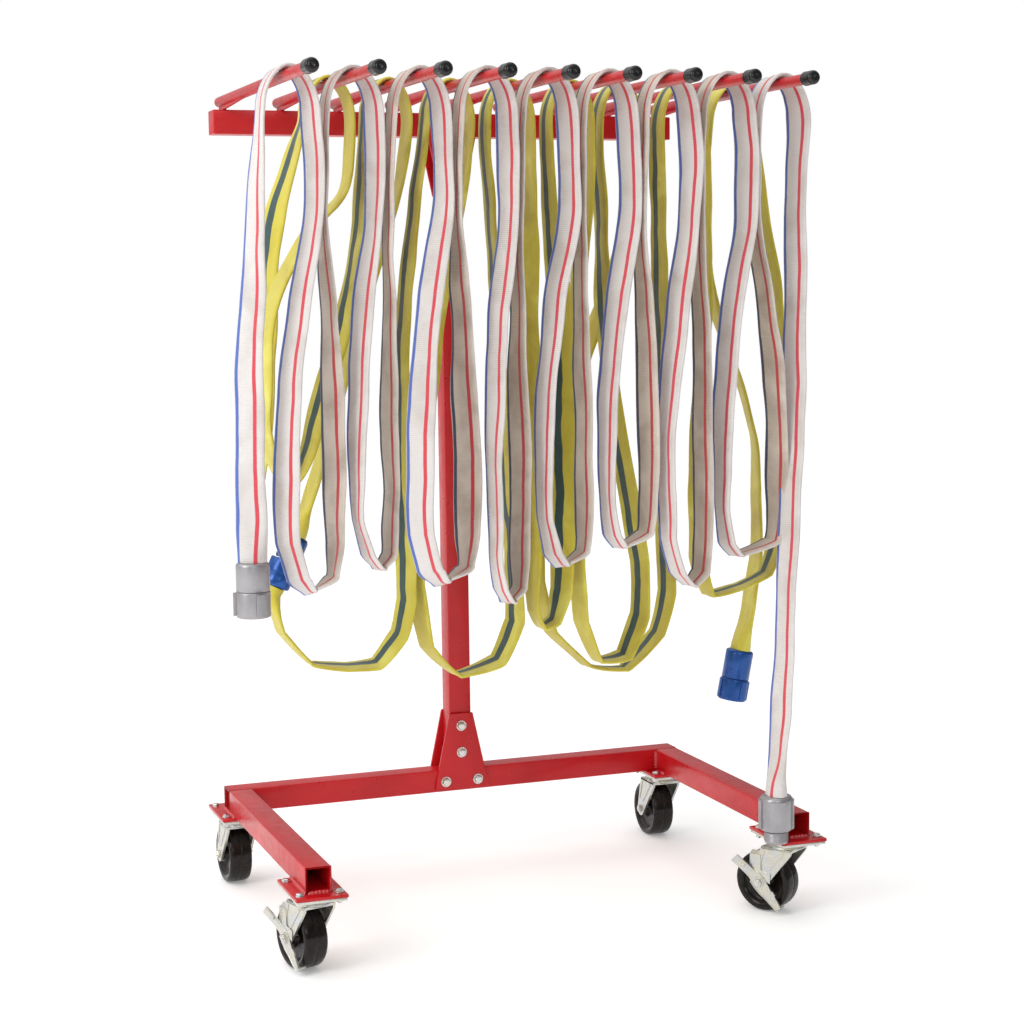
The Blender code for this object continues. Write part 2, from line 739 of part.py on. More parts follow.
def thinned(line, tangent, max_turn=14.0, max_gap=0.075):
    keep = [0]
    for i in range(1, len(line) - 1):
        last = keep[-1]
        bend = math.degrees(tangent[i].angle(tangent[last], 0.0))
        far = (line[i][0] - line[last][0]).length
        twist = abs(line[i][1] - line[last][1])
        if bend > max_turn or far > max_gap or twist > 12.0:
            keep.append(i)
    keep.append(len(line) - 1)
    return keep


def ribbon(name, route, look):
    """A flat hose swept along the route, with a straight cut at each end."""
    line = smooth(route)
    tangent = tangents(line)
    tangent[0] = (Vector(route[1][:3]) - Vector(route[0][:3])).normalized()
    tangent[-1] = (Vector(route[-1][:3]) - Vector(route[-2][:3])).normalized()
    verts = []
    rings = thinned(line, tangent)
    for i in rings:
        p, turn = line[i]
        t = tangent[i]
        wide = Vector((0.0, 1.0, 0.0))
        wide = (wide - t * wide.dot(t)).normalized()
        wide = Matrix.Rotation(math.radians(turn), 3, t) @ wide
        flat = t.cross(wide)
        for u, v in ((-1, -1), (1, -1), (1, 1), (-1, 1)):
            verts.append(p + wide * (HOSE_W / 2 * u) + flat * (HOSE_T / 2 * v))
    faces = [(0, 1, 2, 3)]
    last = 4 * (len(rings) - 1)
    faces.append((last + 3, last + 2, last + 1, last))
    for k in range(len(rings) - 1):
        for j in range(4):
            n = (j + 1) % 4
            faces.append((4 * k + j, 4 * k + 4 + j, 4 * k + 4 + n))
            faces.append((4 * k + j, 4 * k + 4 + n, 4 * k + n))
    return add_object(name, verts, faces, look)


def build_hoses():
    ribbon("hose_white", white_route(), "white_jacket")
    ribbon("hose_yellow_left", yellow_left_route(), "yellow_jacket")
    ribbon("hose_yellow_right", yellow_right_route(), "yellow_jacket")


# ---- couplings ----------------------------------------------------------
def female(tag, look, body_r, ring_r, body_l, ring_l, bore):
    """A shank at the hose end and a free swivel ring in front of it."""
    origin, axis = COUPLINGS[tag]
    frame = frame_from(origin, axis)
    lip = body_l + GAP
    shank = [
        (0.0, 0.0), (body_r - 0.004, 0.0), (body_r, 0.004), (body_r, body_l),
        (bore, body_l), (bore, 0.012), (0.0, 0.012),
    ]
    lathe("coupling_" + tag + "_shank", shank, look, frame, 24)
    ring = [
        (bore, lip), (ring_r - 0.002, lip), (ring_r, lip + 0.002),
        (ring_r, lip + ring_l - 0.003), (ring_r - 0.003, lip + ring_l),
        (bore + 0.003, lip + ring_l), (bore + 0.003, lip + 0.012), (bore, lip + 0.012),
    ]
    lathe("coupling_" + tag + "_swivel", ring, look, frame, 24, True)


def male(name, origin, axis, look, body_r, thread_r, body_l, thread_l, bore):
    """A shank with a smaller threaded spigot."""
    frame = frame_from(origin, axis)
    total = body_l + thread_l
    shank = [
        (0.0, 0.0), (body_r - 0.004, 0.0), (body_r, 0.004), (body_r, body_l - 0.003),
        (body_r - 0.003, body_l), (thread_r, body_l), (thread_r, total - 0.002),
        (thread_r - 0.002, total), (bore, total), (bore, 0.012), (0.0, 0.012),
    ]
    lathe(name, shank, look, frame, 24)


def build_couplings():
    female("white_left", "grey_alloy", 0.0345, 0.0390, 0.0550, 0.0500, 0.0190)
    origin, axis = COUPLINGS["white_right"]
    male("coupling_white_right", origin, axis, "grey_alloy",
         0.0365, 0.0252, 0.0722, 0.0267, 0.0190)
    female("yellow_right", "blue_alloy", 0.0305, 0.0335, 0.0640, 0.0480, 0.0190)
    origin, axis = COUPLINGS["yellow_joint"]
    male("coupling_joint_male", origin, axis, "blue_alloy",
         0.0300, 0.0252, 0.0400, 0.0120, 0.0190)
    low = Vector(origin) + Vector(axis).normalized() * 0.11132
    cup = [
        (0.0, 0.0), (0.0265, 0.0), (0.0305, 0.004), (0.0305, 0.0560), (0.0290, 0.0575),
        (0.0190, 0.0575), (0.0190, 0.012), (0.0, 0.012),
    ]
    up = [-c for c in axis]
    lathe("coupling_joint_female", cup, "blue_alloy", frame_from(low, up), 24)
    origin, axis = COUPLINGS["yellow_left"]
    male("coupling_yellow_left", origin, axis, "blue_alloy",
         0.0300, 0.0252, 0.0550, 0.0240, 0.0190)


# ---- joint axes ---------------------------------------------------------
def marker(name, frame):
    empty = bpy.data.objects.new(name, None)
    bpy.context.scene.collection.objects.link(empty)
    empty.matrix_world = frame
    return empty


def attach(name, parent):
    obj = bpy.data.objects[name]
    obj.parent = parent
    obj.matrix_parent_inverse = parent.matrix_world.inverted()


def build_joint_axes():
    bpy.context.view_layer.update()
    for tag in CASTERS:
        swivel = marker("axis_swivel_" + tag, caster_frame(tag))
        wheel = marker("axis_wheel_" + tag, axle_frame(tag))
        bpy.context.view_layer.update()
        attach("fork_" + tag, swivel)
        attach("axle_" + tag, swivel)
        attach("crown_" + tag, swivel)
        attach("fork_bore_" + tag, swivel)
        attach("wheel_" + tag, wheel)
        attach("axis_wheel_" + tag, swivel)
        if tag.startswith("front"):
            attach("brake_lever_" + tag, wheel)
            attach("lever_bore_" + tag, wheel)
    for tag in ("white_left", "yellow_right"):
        hub = marker("axis_" + tag, frame_from(*COUPLINGS[tag]))
        bpy.context.view_layer.update()
        attach("coupling_" + tag + "_swivel", hub)


def centre_rack():
    for obj in bpy.data.objects:
        if obj.parent is None:
            obj.location.x += SHIFT_X
            obj.location.y += SHIFT_Y
    bpy.context.view_layer.update()


def main():
    clear_scene()
    build_base()
    build_pads()
    build_post()
    build_plates()
    build_pegs()
    build_casters()
    build_hoses()
    build_couplings()
    build_joint_axes()
    centre_rack()


main()
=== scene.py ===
"""Looks of the wheeled fire hose rack: camera, hoses, hardware, materials and light over the CAD frame."""

import math

import bmesh
import bpy
from mathutils import Matrix, Vector, noise


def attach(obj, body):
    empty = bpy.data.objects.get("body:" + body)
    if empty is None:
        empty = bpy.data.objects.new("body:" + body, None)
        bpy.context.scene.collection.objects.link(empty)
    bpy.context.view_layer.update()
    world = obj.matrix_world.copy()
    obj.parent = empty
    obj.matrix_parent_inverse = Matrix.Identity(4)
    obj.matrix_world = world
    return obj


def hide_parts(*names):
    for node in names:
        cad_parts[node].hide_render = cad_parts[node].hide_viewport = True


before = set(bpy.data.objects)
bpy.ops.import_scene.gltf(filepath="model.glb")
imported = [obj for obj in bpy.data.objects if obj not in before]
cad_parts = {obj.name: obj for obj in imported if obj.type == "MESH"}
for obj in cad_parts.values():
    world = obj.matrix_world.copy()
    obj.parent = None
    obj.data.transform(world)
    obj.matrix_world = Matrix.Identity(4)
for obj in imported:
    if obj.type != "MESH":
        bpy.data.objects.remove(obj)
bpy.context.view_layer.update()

# ---- sizes shared with the CAD, in metres ------
GAP = 0.0003
TUBE = 0.0508
HALF_WIDTH = 0.534
LEG_X = HALF_WIDTH - TUBE / 2
LEG_REACH = 0.681
PLATE_T = 0.006
BASE_Z = 0.171
BAR_Z = 1.6335
BAR_TOP = BAR_Z + TUBE
FRONT_PAD_Y = -0.634
PEG_COUNT = 9
PEG_PITCH = 0.1257
PEG_R = 0.011
PEG_BORE = 0.009
PEG_BACK = 0.0213
PEG_FRONT = -0.7500
PEG_Z = BAR_TOP + 0.0077 + PEG_R
WEB_FRONT = -0.215
WEB_HALF = 0.0025
CAP_R = 0.0143
CAP_LEN = 0.036
CAP_WALL = 0.003
WHEEL_R = 0.0635
TRAIL = 0.048
LEG_IN = 0.0290
LEG_OUT = 0.0340
LEVER_T = 0.0033
BRAKED = ("front_left", "front_right")
CASTERS = {
    "front_left": (-1, FRONT_PAD_Y, -14.0),
    "front_right": (1, FRONT_PAD_Y, -32.0),
    "rear_left": (-1, 0.0, -3.0),
    "rear_right": (1, 0.0, 0.0),
}
HOSE_W = 0.067
HOSE_T = 0.008
ARCH_A = 0.047
ARCH_B = 0.085
NECK_TURN = 20.0
SHIFT = Vector((0.0132, 0.3206, 0.0))

# ---- hose routes, as in the CAD ------
WHITE_LOOPS = [
    ((-0.452, -0.52), (-0.43, -0.42), 0.725, -0.555, -0.535, 34, 28, -0.11),
    ((-0.335, -0.38), (-0.309, -0.305), 0.762, -0.55, -0.53, 4, 14, 0.2),
    ((-0.207, -0.272), (-0.181, -0.162), 0.735, -0.61, -0.57, 38, 36, -0.1),
    ((-0.079, -0.118), (-0.056, -0.058), 0.688, -0.605, -0.585, 2, 22, 0.0),
    ((0.05, -0.012), (0.074, 0.081), 0.752, -0.6, -0.58, 10, 10, -0.15),
    ((0.176, 0.122), (0.198, 0.219), 0.783, -0.6, -0.59, 6, 18, -0.36),
    ((0.302, 0.25), (0.326, 0.333), 0.7, -0.61, -0.6, 4, 15, 0.2),
    ((0.43, 0.375), (0.454, 0.507), 0.752, -0.6, -0.59, 2, 16, -0.45),
]
WHITE_DRAPE_Y = [-0.545, -0.54, -0.565, -0.59, -0.588, -0.59, -0.605, -0.6, -0.592]
NECK_Z = 1.455
LEFT_TAIL = [
    (-0.588, -0.545, 0.79, 58), (-0.588, -0.545, 0.815, 58), (-0.589, -0.545, 0.907, 50),
    (-0.586, -0.545, 1.094, 42), (-0.576, -0.545, 1.278, 36), (-0.567, -0.545, 1.404, 22),
]
RIGHT_TAIL = [
    (0.547, -0.594, 1.5, -8), (0.543, -0.596, 1.28, -16), (0.536, -0.606, 1.1, -18),
    (0.52, -0.626, 0.9, -14), (0.494, -0.653, 0.67, -10), (0.468, -0.68, 0.44, -8),
    (0.453, -0.694, 0.34, -4), (0.449, -0.698, 0.296, 0), (0.449, -0.698, 0.2705, 0),
]
YELLOW_LEFT_A = [
    (-0.508, -0.2, 0.77, 0), (-0.508, -0.2, 0.8, 0), (-0.488, -0.225, 1.000, 20),
    (-0.482, -0.255, 1.21, 28), (-0.478, -0.3, 1.4, 26), (-0.45, -0.35, 1.545, 12),
]
YELLOW_LEFT_B = [
    (-0.345, -0.385, 1.5, 0), (-0.42, -0.395, 1.42, -4), (-0.5, -0.395, 1.279, -12),
    (-0.52, -0.395, 1.123, -14), (-0.514, -0.395, 0.99, -10), (-0.478, -0.395, 0.918, 0),
    (-0.44, -0.395, 0.975, 12), (-0.404, -0.395, 1.101, 20), (-0.355, -0.39, 1.244, 14),
    (-0.322, -0.38, 1.4, 6),
]
YELLOW_LEFT_C = [
    (-0.224, -0.345, 1.5, 0), (-0.262, -0.325, 1.378, -6), (-0.318, -0.31, 1.201, -10),
    (-0.366, -0.302, 1.024, -8), (-0.404, -0.3, 0.905, -4), (-0.429, -0.3, 0.83, 0),
    (-0.44, -0.3, 0.806, 0),
]
YELLOW_RIGHT_A = [
    (-0.4867, -0.3, 0.7042, 0), (-0.4942, -0.3, 0.6878, 0), (-0.478, -0.306, 0.612, 0),
    (-0.42, -0.322, 0.543, 0), (-0.35, -0.338, 0.534, 4), (-0.289, -0.35, 0.54, 8),
    (-0.243, -0.357, 0.598, 16), (-0.225, -0.36, 0.668, 22), (-0.226, -0.36, 0.76, 24),
    (-0.228, -0.36, 0.917, 18), (-0.228, -0.36, 1.08, 12), (-0.222, -0.362, 1.25, 10),
    (-0.202, -0.366, 1.42, 4),
]
YELLOW_LOOP_B = [
    (-0.094, -0.372, 1.5, 0), (-0.146, -0.366, 1.281, -10), (-0.174, -0.362, 1.078, -16),
    (-0.196, -0.36, 0.874, -20), (-0.206, -0.36, 0.7, -18), (-0.184, -0.36, 0.568, -8),
    (-0.118, -0.36, 0.504, 0), (-0.029, -0.36, 0.53, 8), (0.012, -0.36, 0.608, 16),
    (0.008, -0.362, 0.76, 14), (-0.01, -0.366, 0.95, 8), (-0.018, -0.372, 1.16, 4),
    (-0.034, -0.378, 1.4, 0),
]
YELLOW_LOOP_C = [
    (0.047, -0.382, 1.5, -6), (0.042, -0.38, 1.351, -22), (0.04, -0.378, 1.2, -26),
    (0.043, -0.378, 0.98, -20), (0.046, -0.378, 0.78, -12), (0.045, -0.378, 0.69, -8),
    (0.048, -0.378, 0.628, -2), (0.064, -0.378, 0.596, 0), (0.09, -0.378, 0.608, 8),
    (0.11, -0.378, 0.67, 24), (0.113, -0.378, 0.862, 38), (0.111, -0.38, 1.074, 36),
    (0.108, -0.384, 1.282, 26), (0.088, -0.392, 1.43, 8),
]
YELLOW_LOOP_D = [
    (0.17, -0.392, 1.5, -4), (0.152, -0.386, 1.32, -8), (0.143, -0.382, 1.074, -10),
    (0.143, -0.38, 0.862, -10), (0.147, -0.38, 0.69, -8), (0.153, -0.38, 0.6, -6),
    (0.19, -0.38, 0.514, 0), (0.254, -0.38, 0.52, 6), (0.288, -0.38, 0.606, 14),
    (0.287, -0.38, 0.72, 18), (0.263, -0.38, 0.86, 16), (0.238, -0.38, 1.01, 12),
    (0.212, -0.378, 1.243, 10), (0.208, -0.372, 1.42, 4),
]
YELLOW_LOOP_E = [
    (0.298, -0.345, 1.5, 0), (0.262, -0.31, 1.33, -6), (0.19, -0.292, 1.13, -10),
    (0.118, -0.288, 0.93, -12), (0.088, -0.288, 0.79, -14), (0.084, -0.288, 0.68, -14),
    (0.12, -0.288, 0.568, -6), (0.202, -0.29, 0.488, 0), (0.286, -0.297, 0.476, 0),
    (0.364, -0.304, 0.55, 8), (0.386, -0.308, 0.64, 12), (0.376, -0.315, 0.78, 12),
    (0.358, -0.34, 1.000, 10), (0.346, -0.368, 1.25, 8), (0.334, -0.385, 1.43, 2),
]
YELLOW_LOOP_F = [
    (0.426, -0.41, 1.5, 0), (0.424, -0.418, 1.28, -4), (0.414, -0.42, 1.07, -6),
    (0.404, -0.42, 0.87, -8), (0.404, -0.42, 0.725, -6), (0.43, -0.42, 0.644, 0),
    (0.506, -0.42, 0.657, 0), (0.566, -0.42, 0.684, 2), (0.592, -0.42, 0.748, 6),
    (0.598, -0.42, 0.85, 8), (0.598, -0.418, 1.066, 8), (0.59, -0.412, 1.284, 6),
    (0.568, -0.4, 1.45, 2),
]
YELLOW_TAIL = [
    (0.456, -0.34, 1.52, 0), (0.462, -0.332, 1.42, 6), (0.488, -0.328, 1.262, 10),
    (0.548, -0.328, 1.1, 14), (0.584, -0.328, 0.98, 12), (0.592, -0.33, 0.86, 10),
    (0.588, -0.33, 0.705, 6), (0.572, -0.33, 0.595, 2), (0.5565, -0.33, 0.5305, 0),
    (0.551, -0.33, 0.503, 0),
]
DOWN = (0.0, 0.0, -1.0)
COUPLINGS = {
    "white_left": ((-0.588, -0.545, 0.7897), DOWN),
    "white_right": ((0.449, -0.698, 0.2702), DOWN),
    "yellow_right": ((0.55093, -0.330, 0.5027), (-0.196, 0.0, -0.981)),
    "yellow_joint": ((-0.44013, -0.300, 0.80573), (-0.4167, 0.0, -0.9091)),
    "yellow_left": ((-0.508, -0.200, 0.7697), DOWN),
}
BORE = 0.0190  # waterway of every coupling
JOINT_LENGTH = 0.11132

# ---- camera, sky and floor ------
CAMERA_PLACE = (-1.4697, -4.3844, 1.3066)
CAMERA_YAW = 20.163
CAMERA_DROP = 6.234
CAMERA_TILT = -0.752
LENS = 72.71
LENS_SHIFT = (0.0, 0.0)
SKY_TOWARD = (-0.46, 0.30, 0.84)
SKY_LOW = 0.24
SKY_HIGH = 1.15
FLOOR_HALF = 14.0
FLOOR_Z = -0.0006


def make_camera():
    yaw, drop, tilt = (math.radians(a) for a in (CAMERA_YAW, CAMERA_DROP, CAMERA_TILT))
    forward = Vector((math.sin(yaw) * math.cos(drop), math.cos(yaw) * math.cos(drop), -math.sin(drop)))
    level = Vector((math.cos(yaw), -math.sin(yaw), 0.0))
    over = level.cross(forward)
    right = level * math.cos(tilt) + over * math.sin(tilt)
    up = over * math.cos(tilt) - level * math.sin(tilt)
    camera = bpy.data.objects.new("camera", bpy.data.cameras.new("camera"))
    bpy.context.scene.collection.objects.link(camera)
    camera.matrix_world = (
        Matrix.Translation(Vector(CAMERA_PLACE) + SHIFT)
        @ Matrix((right, up, -forward)).transposed().to_4x4()
    )
    camera.data.sensor_width = 36.0
    camera.data.lens = LENS
    camera.data.shift_x, camera.data.shift_y = LENS_SHIFT
    camera.data.clip_end = 60.0
    bpy.context.scene.camera = camera


# ---- materials ------
STRIPE_EDGE = 0.010


class Nodes:
    """A node tree, with short calls for the nodes in it."""

    def __init__(self, tree):
        self.tree = tree

    def node(self, kind, inputs=None, **props):
        made = self.tree.nodes.new("ShaderNode" + kind)
        for key, value in props.items():
            setattr(made, key, value)
        for key, value in (inputs or {}).items():
            self.feed(made.inputs[key], value)
        return made

    def feed(self, socket, value):
        if isinstance(value, bpy.types.NodeSocket):
            self.tree.links.new(value, socket)
        else:
            socket.default_value = value

    def spread(self, value, low, high, start=0.3, end=0.7):
        """Takes a value that goes from start to end to one that goes from low to high."""
        inputs = {"Value": value, "From Min": start, "From Max": end, "To Min": low, "To Max": high}
        return self.node("MapRange", inputs).outputs["Result"]


class Finish(Nodes):
    """A Principled material, with the pattern nodes that drive it."""

    def __init__(self, name, **fixed):
        self.mat = bpy.data.materials.new(name)
        self.mat.use_nodes = True
        super().__init__(self.mat.node_tree)
        self.shader = self.tree.nodes["Principled BSDF"]
        self.at = self.node("TexCoord").outputs["Object"]
        for key, value in fixed.items():
            self.shader.inputs[key.replace("_", " ")].default_value = value

    def noise(self, scale, detail=3.0, distortion=0.0, at=None):
        place = self.at if at is None else at
        inputs = {"Vector": place, "Scale": scale, "Detail": detail, "Distortion": distortion}
        return self.node("TexNoise", inputs).outputs["Fac"]

    def stretched(self, along):
        """The place, stretched along Z for marks that run that way."""
        return self.node("Mapping", {"Vector": self.at, "Scale": (1.0, 1.0, along)}).outputs["Vector"]

    def math(self, operation, a, b=0.0):
        return self.node("Math", {0: a, 1: b}, operation=operation).outputs[0]

    def ramp(self, fac, *stops):
        made = self.node("ValToRGB", {"Fac": fac})
        elements = made.color_ramp.elements
        made.color_ramp.interpolation = "EASE"
        while len(elements) < len(stops):
            elements.new(0.5)
        for element, (at, colour) in zip(elements, stops):
            element.position = at
            element.color = (*colour, 1.0)
        return made.outputs["Color"]

    def mix(self, fac, a, b):
        made = self.node("Mix", {0: fac}, data_type="RGBA")
        for socket, value in ((made.inputs[6], a), (made.inputs[7], b)):
            self.feed(socket, value if isinstance(value, bpy.types.NodeSocket) else (*value, 1.0))
        return made.outputs[2]

    def done(self, colour, rough=None, bump=None):
        """Sets the colour, the (noise, low, high) roughness and the (height, strength, distance) bump."""
        self.feed(self.shader.inputs["Base Color"], colour)
        if rough:
            self.feed(self.shader.inputs["Roughness"], self.spread(*rough))
        if bump:
            made = self.node("Bump", dict(zip(("Height", "Strength", "Distance"), bump)))
            self.feed(self.shader.inputs["Normal"], made.outputs["Normal"])
        return self.mat


def paint_finish():
    """Red powder coat with a faint orange peel."""
    f = Finish("red_powder_coat", Coat_Weight=0.10, Coat_Roughness=0.08, Specular_IOR_Level=0.35)
    tone = f.ramp(f.noise(7.0, 4.0, 0.4), (0.30, (0.47, 0.004, 0.008)), (0.70, (0.56, 0.007, 0.012)))
    return f.done(tone, (f.noise(45.0), 0.26, 0.40), (f.noise(380.0, 1.0), 0.06, 0.0004))


def weld_finish():
    """The same coat over a rippled weld bead."""
    f = Finish("red_weld_coat", Coat_Weight=0.7, Coat_Roughness=0.10)
    tone = f.ramp(f.noise(160.0), (0.3, (0.46, 0.006, 0.010)), (0.7, (0.62, 0.012, 0.018)))
    return f.done(tone, (f.noise(90.0), 0.18, 0.34), (f.noise(330.0, 3.0, 0.6), 0.5, 0.0012))


def cap_finish():
    """Dipped black vinyl."""
    f = Finish("black_vinyl", Coat_Weight=0.55, Coat_Roughness=0.03, Specular_IOR_Level=0.15)
    tone = f.ramp(f.noise(60.0), (0.3, (0.006, 0.006, 0.007)), (0.7, (0.016, 0.016, 0.018)))
    return f.done(tone, (f.noise(120.0), 0.22, 0.34), (f.noise(240.0, 2.0), 0.08, 0.0005))


def zinc_finish(name, cool, warm, low, high):
    """Bright zinc plate, mottled between cool and yellowish tones, with fine pressing marks."""
    f = Finish(name, Metallic=0.92)
    tone = f.ramp(f.noise(38.0, 4.0, 0.8), (0.32, cool), (0.66, warm))
    tone = f.mix(f.spread(f.noise(420.0, 2.0), 0.0, 0.22), tone, (0.30, 0.29, 0.27))
    marks = f.noise(600.0, 3.0, at=f.stretched(0.25))
    return f.done(tone, (f.noise(70.0, 4.0), low, high), (marks, 0.14, 0.0004))


def wheel_finish():
    """Dark moulded phenolic resin, brown-black and mottled."""
    f = Finish("phenolic_resin", Coat_Weight=0.30, Coat_Roughness=0.06, Specular_IOR_Level=0.12)
    tone = f.ramp(f.noise(55.0, 5.0, 1.2), (0.30, (0.005, 0.0035, 0.003)), (0.55, (0.011, 0.008, 0.0065)),
                  (0.75, (0.026, 0.018, 0.014)))
    return f.done(tone, (f.noise(140.0, 3.0), 0.22, 0.44), (f.noise(380.0, 3.0), 0.12, 0.0006))


def rubber_finish():
    """The black gasket inside a coupling."""
    f = Finish("gasket_rubber")
    tone = f.ramp(f.noise(200.0), (0.3, (0.012, 0.012, 0.012)), (0.7, (0.03, 0.03, 0.03)))
    return f.done(tone, (f.noise(300.0), 0.6, 0.8))


def alloy_finish(name, dark, light, metallic, low, high, grain):
    """Cast coupling metal: fine sand grain, handling marks and paler worn patches."""
    f = Finish(name, Metallic=metallic)
    tone = f.ramp(f.noise(18.0, 5.0, 0.3), (0.30, dark), (0.72, light))
    scuff = f.noise(210.0, 3.0, 0.5, f.stretched(0.2))
    mark = f.ramp(scuff, (0.62, (0.0, 0.0, 0.0)), (0.74, (1.0, 1.0, 1.0)))
    worn = tuple(c * 1.7 + 0.05 for c in light)
    tone = f.mix(f.math("MULTIPLY", mark, 0.20), tone, worn)
    return f.done(tone, (f.noise(90.0, 4.0), low, high), (f.noise(900.0, 2.0), grain, 0.0005))


def stripe(f, across, centre, half):
    """1 inside a stripe along the hose, 0 outside, with a slightly ragged woven edge."""
    off = f.math("ABSOLUTE", f.math("SUBTRACT", across, centre))
    return f.spread(off, 0.0, 1.0, half + STRIPE_EDGE, half - STRIPE_EDGE)


def weave(f, across, along, warp, weft):
    """Height of a ribbed weave: weft ribs across the hose, broken up by the warp."""
    ribs = f.math("SINE", f.math("MULTIPLY", along, 2 * math.pi / weft))
    yarn = f.math("SINE", f.math("MULTIPLY", across, 2 * math.pi * HOSE_W / warp))
    return f.math("ADD", f.math("MULTIPLY", ribs, 0.6), f.math("MULTIPLY", yarn, 0.4))


def weave_painted_shade(f, woven, tone, share, colour):
    """The tone with its low yarns darkened: painted shade along the weave's ribs."""
    return f.mix(f.math("MULTIPLY", f.math("ADD", woven, 1.0), share), tone, colour)


def jacket_start(name, wander, sheen):
    """Sets up a jacket material: its place across and along the hose, and which face it is."""
    f = Finish(name, Sheen_Weight=sheen)
    split = f.node("SeparateXYZ", {"Vector": f.node("UVMap", uv_map="jacket").outputs["UV"]})
    # 1 on the flagged inner faces: painted shade on the white hose, the band on the yellow hose
    face = f.math("GREATER_THAN", split.outputs["X"], 1.5)
    along = split.outputs["Y"]
    across = f.math("SUBTRACT", split.outputs["X"], f.math("MULTIPLY", face, 2.0))
    line = f.node("CombineXYZ", {"X": along}).outputs["Vector"]
    moved = across
    for pattern, reach in ((f.noise(9.0, 2.0, at=line), wander), (f.noise(420.0, 2.0), 0.012)):
        moved = f.math("ADD", moved, f.math("MULTIPLY", f.math("SUBTRACT", pattern, 0.5), reach))
    return f, face, across, along, moved


def white_jacket():
    """Off-white woven jacket with one blue and one red stripe along each face, with painted shade: the inner
    faces of the loops take darker copies of the white and of both stripes.
    """
    f, face, across, along, moved = jacket_start("white_woven_jacket", 0.09, 0.25)
    soil = f.noise(12.0, 5.0, 0.4)
    outer_tone = f.ramp(soil, (0.28, (0.63, 0.585, 0.555)), (0.60, (0.74, 0.705, 0.685)))
    # painted shade: the inner faces of the loops take this darker, warmer copy of the white
    inner = f.ramp(soil, (0.28, (0.45, 0.375, 0.31)), (0.66, (0.68, 0.60, 0.52)))
    tone = f.mix(face, outer_tone, inner)
    # painted shade: each stripe takes a darker copy of its colour on the inner faces
    blue = f.mix(face, (0.055, 0.13, 0.50), (0.012, 0.028, 0.090))
    red = f.mix(face, (0.68, 0.030, 0.060), (0.55, 0.016, 0.030))
    tone = f.mix(stripe(f, moved, 0.900, 0.058), tone, blue)
    tone = f.mix(stripe(f, moved, 0.290, 0.064), tone, red)
    woven = weave(f, across, along, 0.0026, 0.0038)
    # painted shade along the weave's ribs
    tone = weave_painted_shade(f, woven, tone, 0.10, (0.34, 0.30, 0.27))
    return f.done(tone, (f.noise(60.0), 0.78, 0.92), (woven, 0.55, 0.0005))


def yellow_jacket():
    """Olive-yellow woven jacket with one wavy dark green stripe on its inner face."""
    f, face, across, along, moved = jacket_start("yellow_woven_jacket", 0.30, 0.30)
    tone = f.ramp(f.noise(9.0, 5.0, 0.6), (0.28, (0.52, 0.42, 0.028)), (0.50, (0.66, 0.57, 0.050)),
                  (0.72, (0.80, 0.74, 0.120)))
    band = f.math("MULTIPLY", stripe(f, moved, 0.60, 0.150), face)
    tone = f.mix(band, tone, (0.010, 0.058, 0.068))
    woven = weave(f, across, along, 0.0018, 0.0020)
    # painted shade along the weave's ribs
    tone = weave_painted_shade(f, woven, tone, 0.06, (0.20, 0.15, 0.01))
    return f.done(tone, (f.noise(50.0), 0.60, 0.78), (woven, 0.45, 0.0004))


def make_finishes():
    """Each look's material and the slot it stands for."""
    grey = ("cast_grey_alloy", (0.33, 0.32, 0.335), (0.40, 0.385, 0.40), 0.70, 0.34, 0.44, 0.22)
    blue = ("blue_anodised_alloy", (0.008, 0.062, 0.27), (0.014, 0.090, 0.36), 0.35, 0.20, 0.30, 0.10)
    plate = ("zinc_plate", (0.60, 0.62, 0.63), (0.66, 0.64, 0.54), 0.22, 0.42)
    bolt = ("zinc_bolt", (0.66, 0.68, 0.70), (0.70, 0.66, 0.58), 0.16, 0.30)
    return {
        "paint": (paint_finish(), "red_paint"),
        "weld": (weld_finish(), "red_paint"),
        "cap": (cap_finish(), "black_cap"),
        "zinc": (zinc_finish(*plate), "zinc_steel"),
        "bolt": (zinc_finish(*bolt), "zinc_steel"),
        "wheel": (wheel_finish(), "wheel_phenolic"),
        "rubber": (rubber_finish(), "black_cap"),
        "white": (white_jacket(), "white_jacket"),
        "yellow": (yellow_jacket(), "yellow_jacket"),
        "grey": (alloy_finish(*grey), "grey_alloy"),
        "blue": (alloy_finish(*blue), "blue_alloy"),
    }


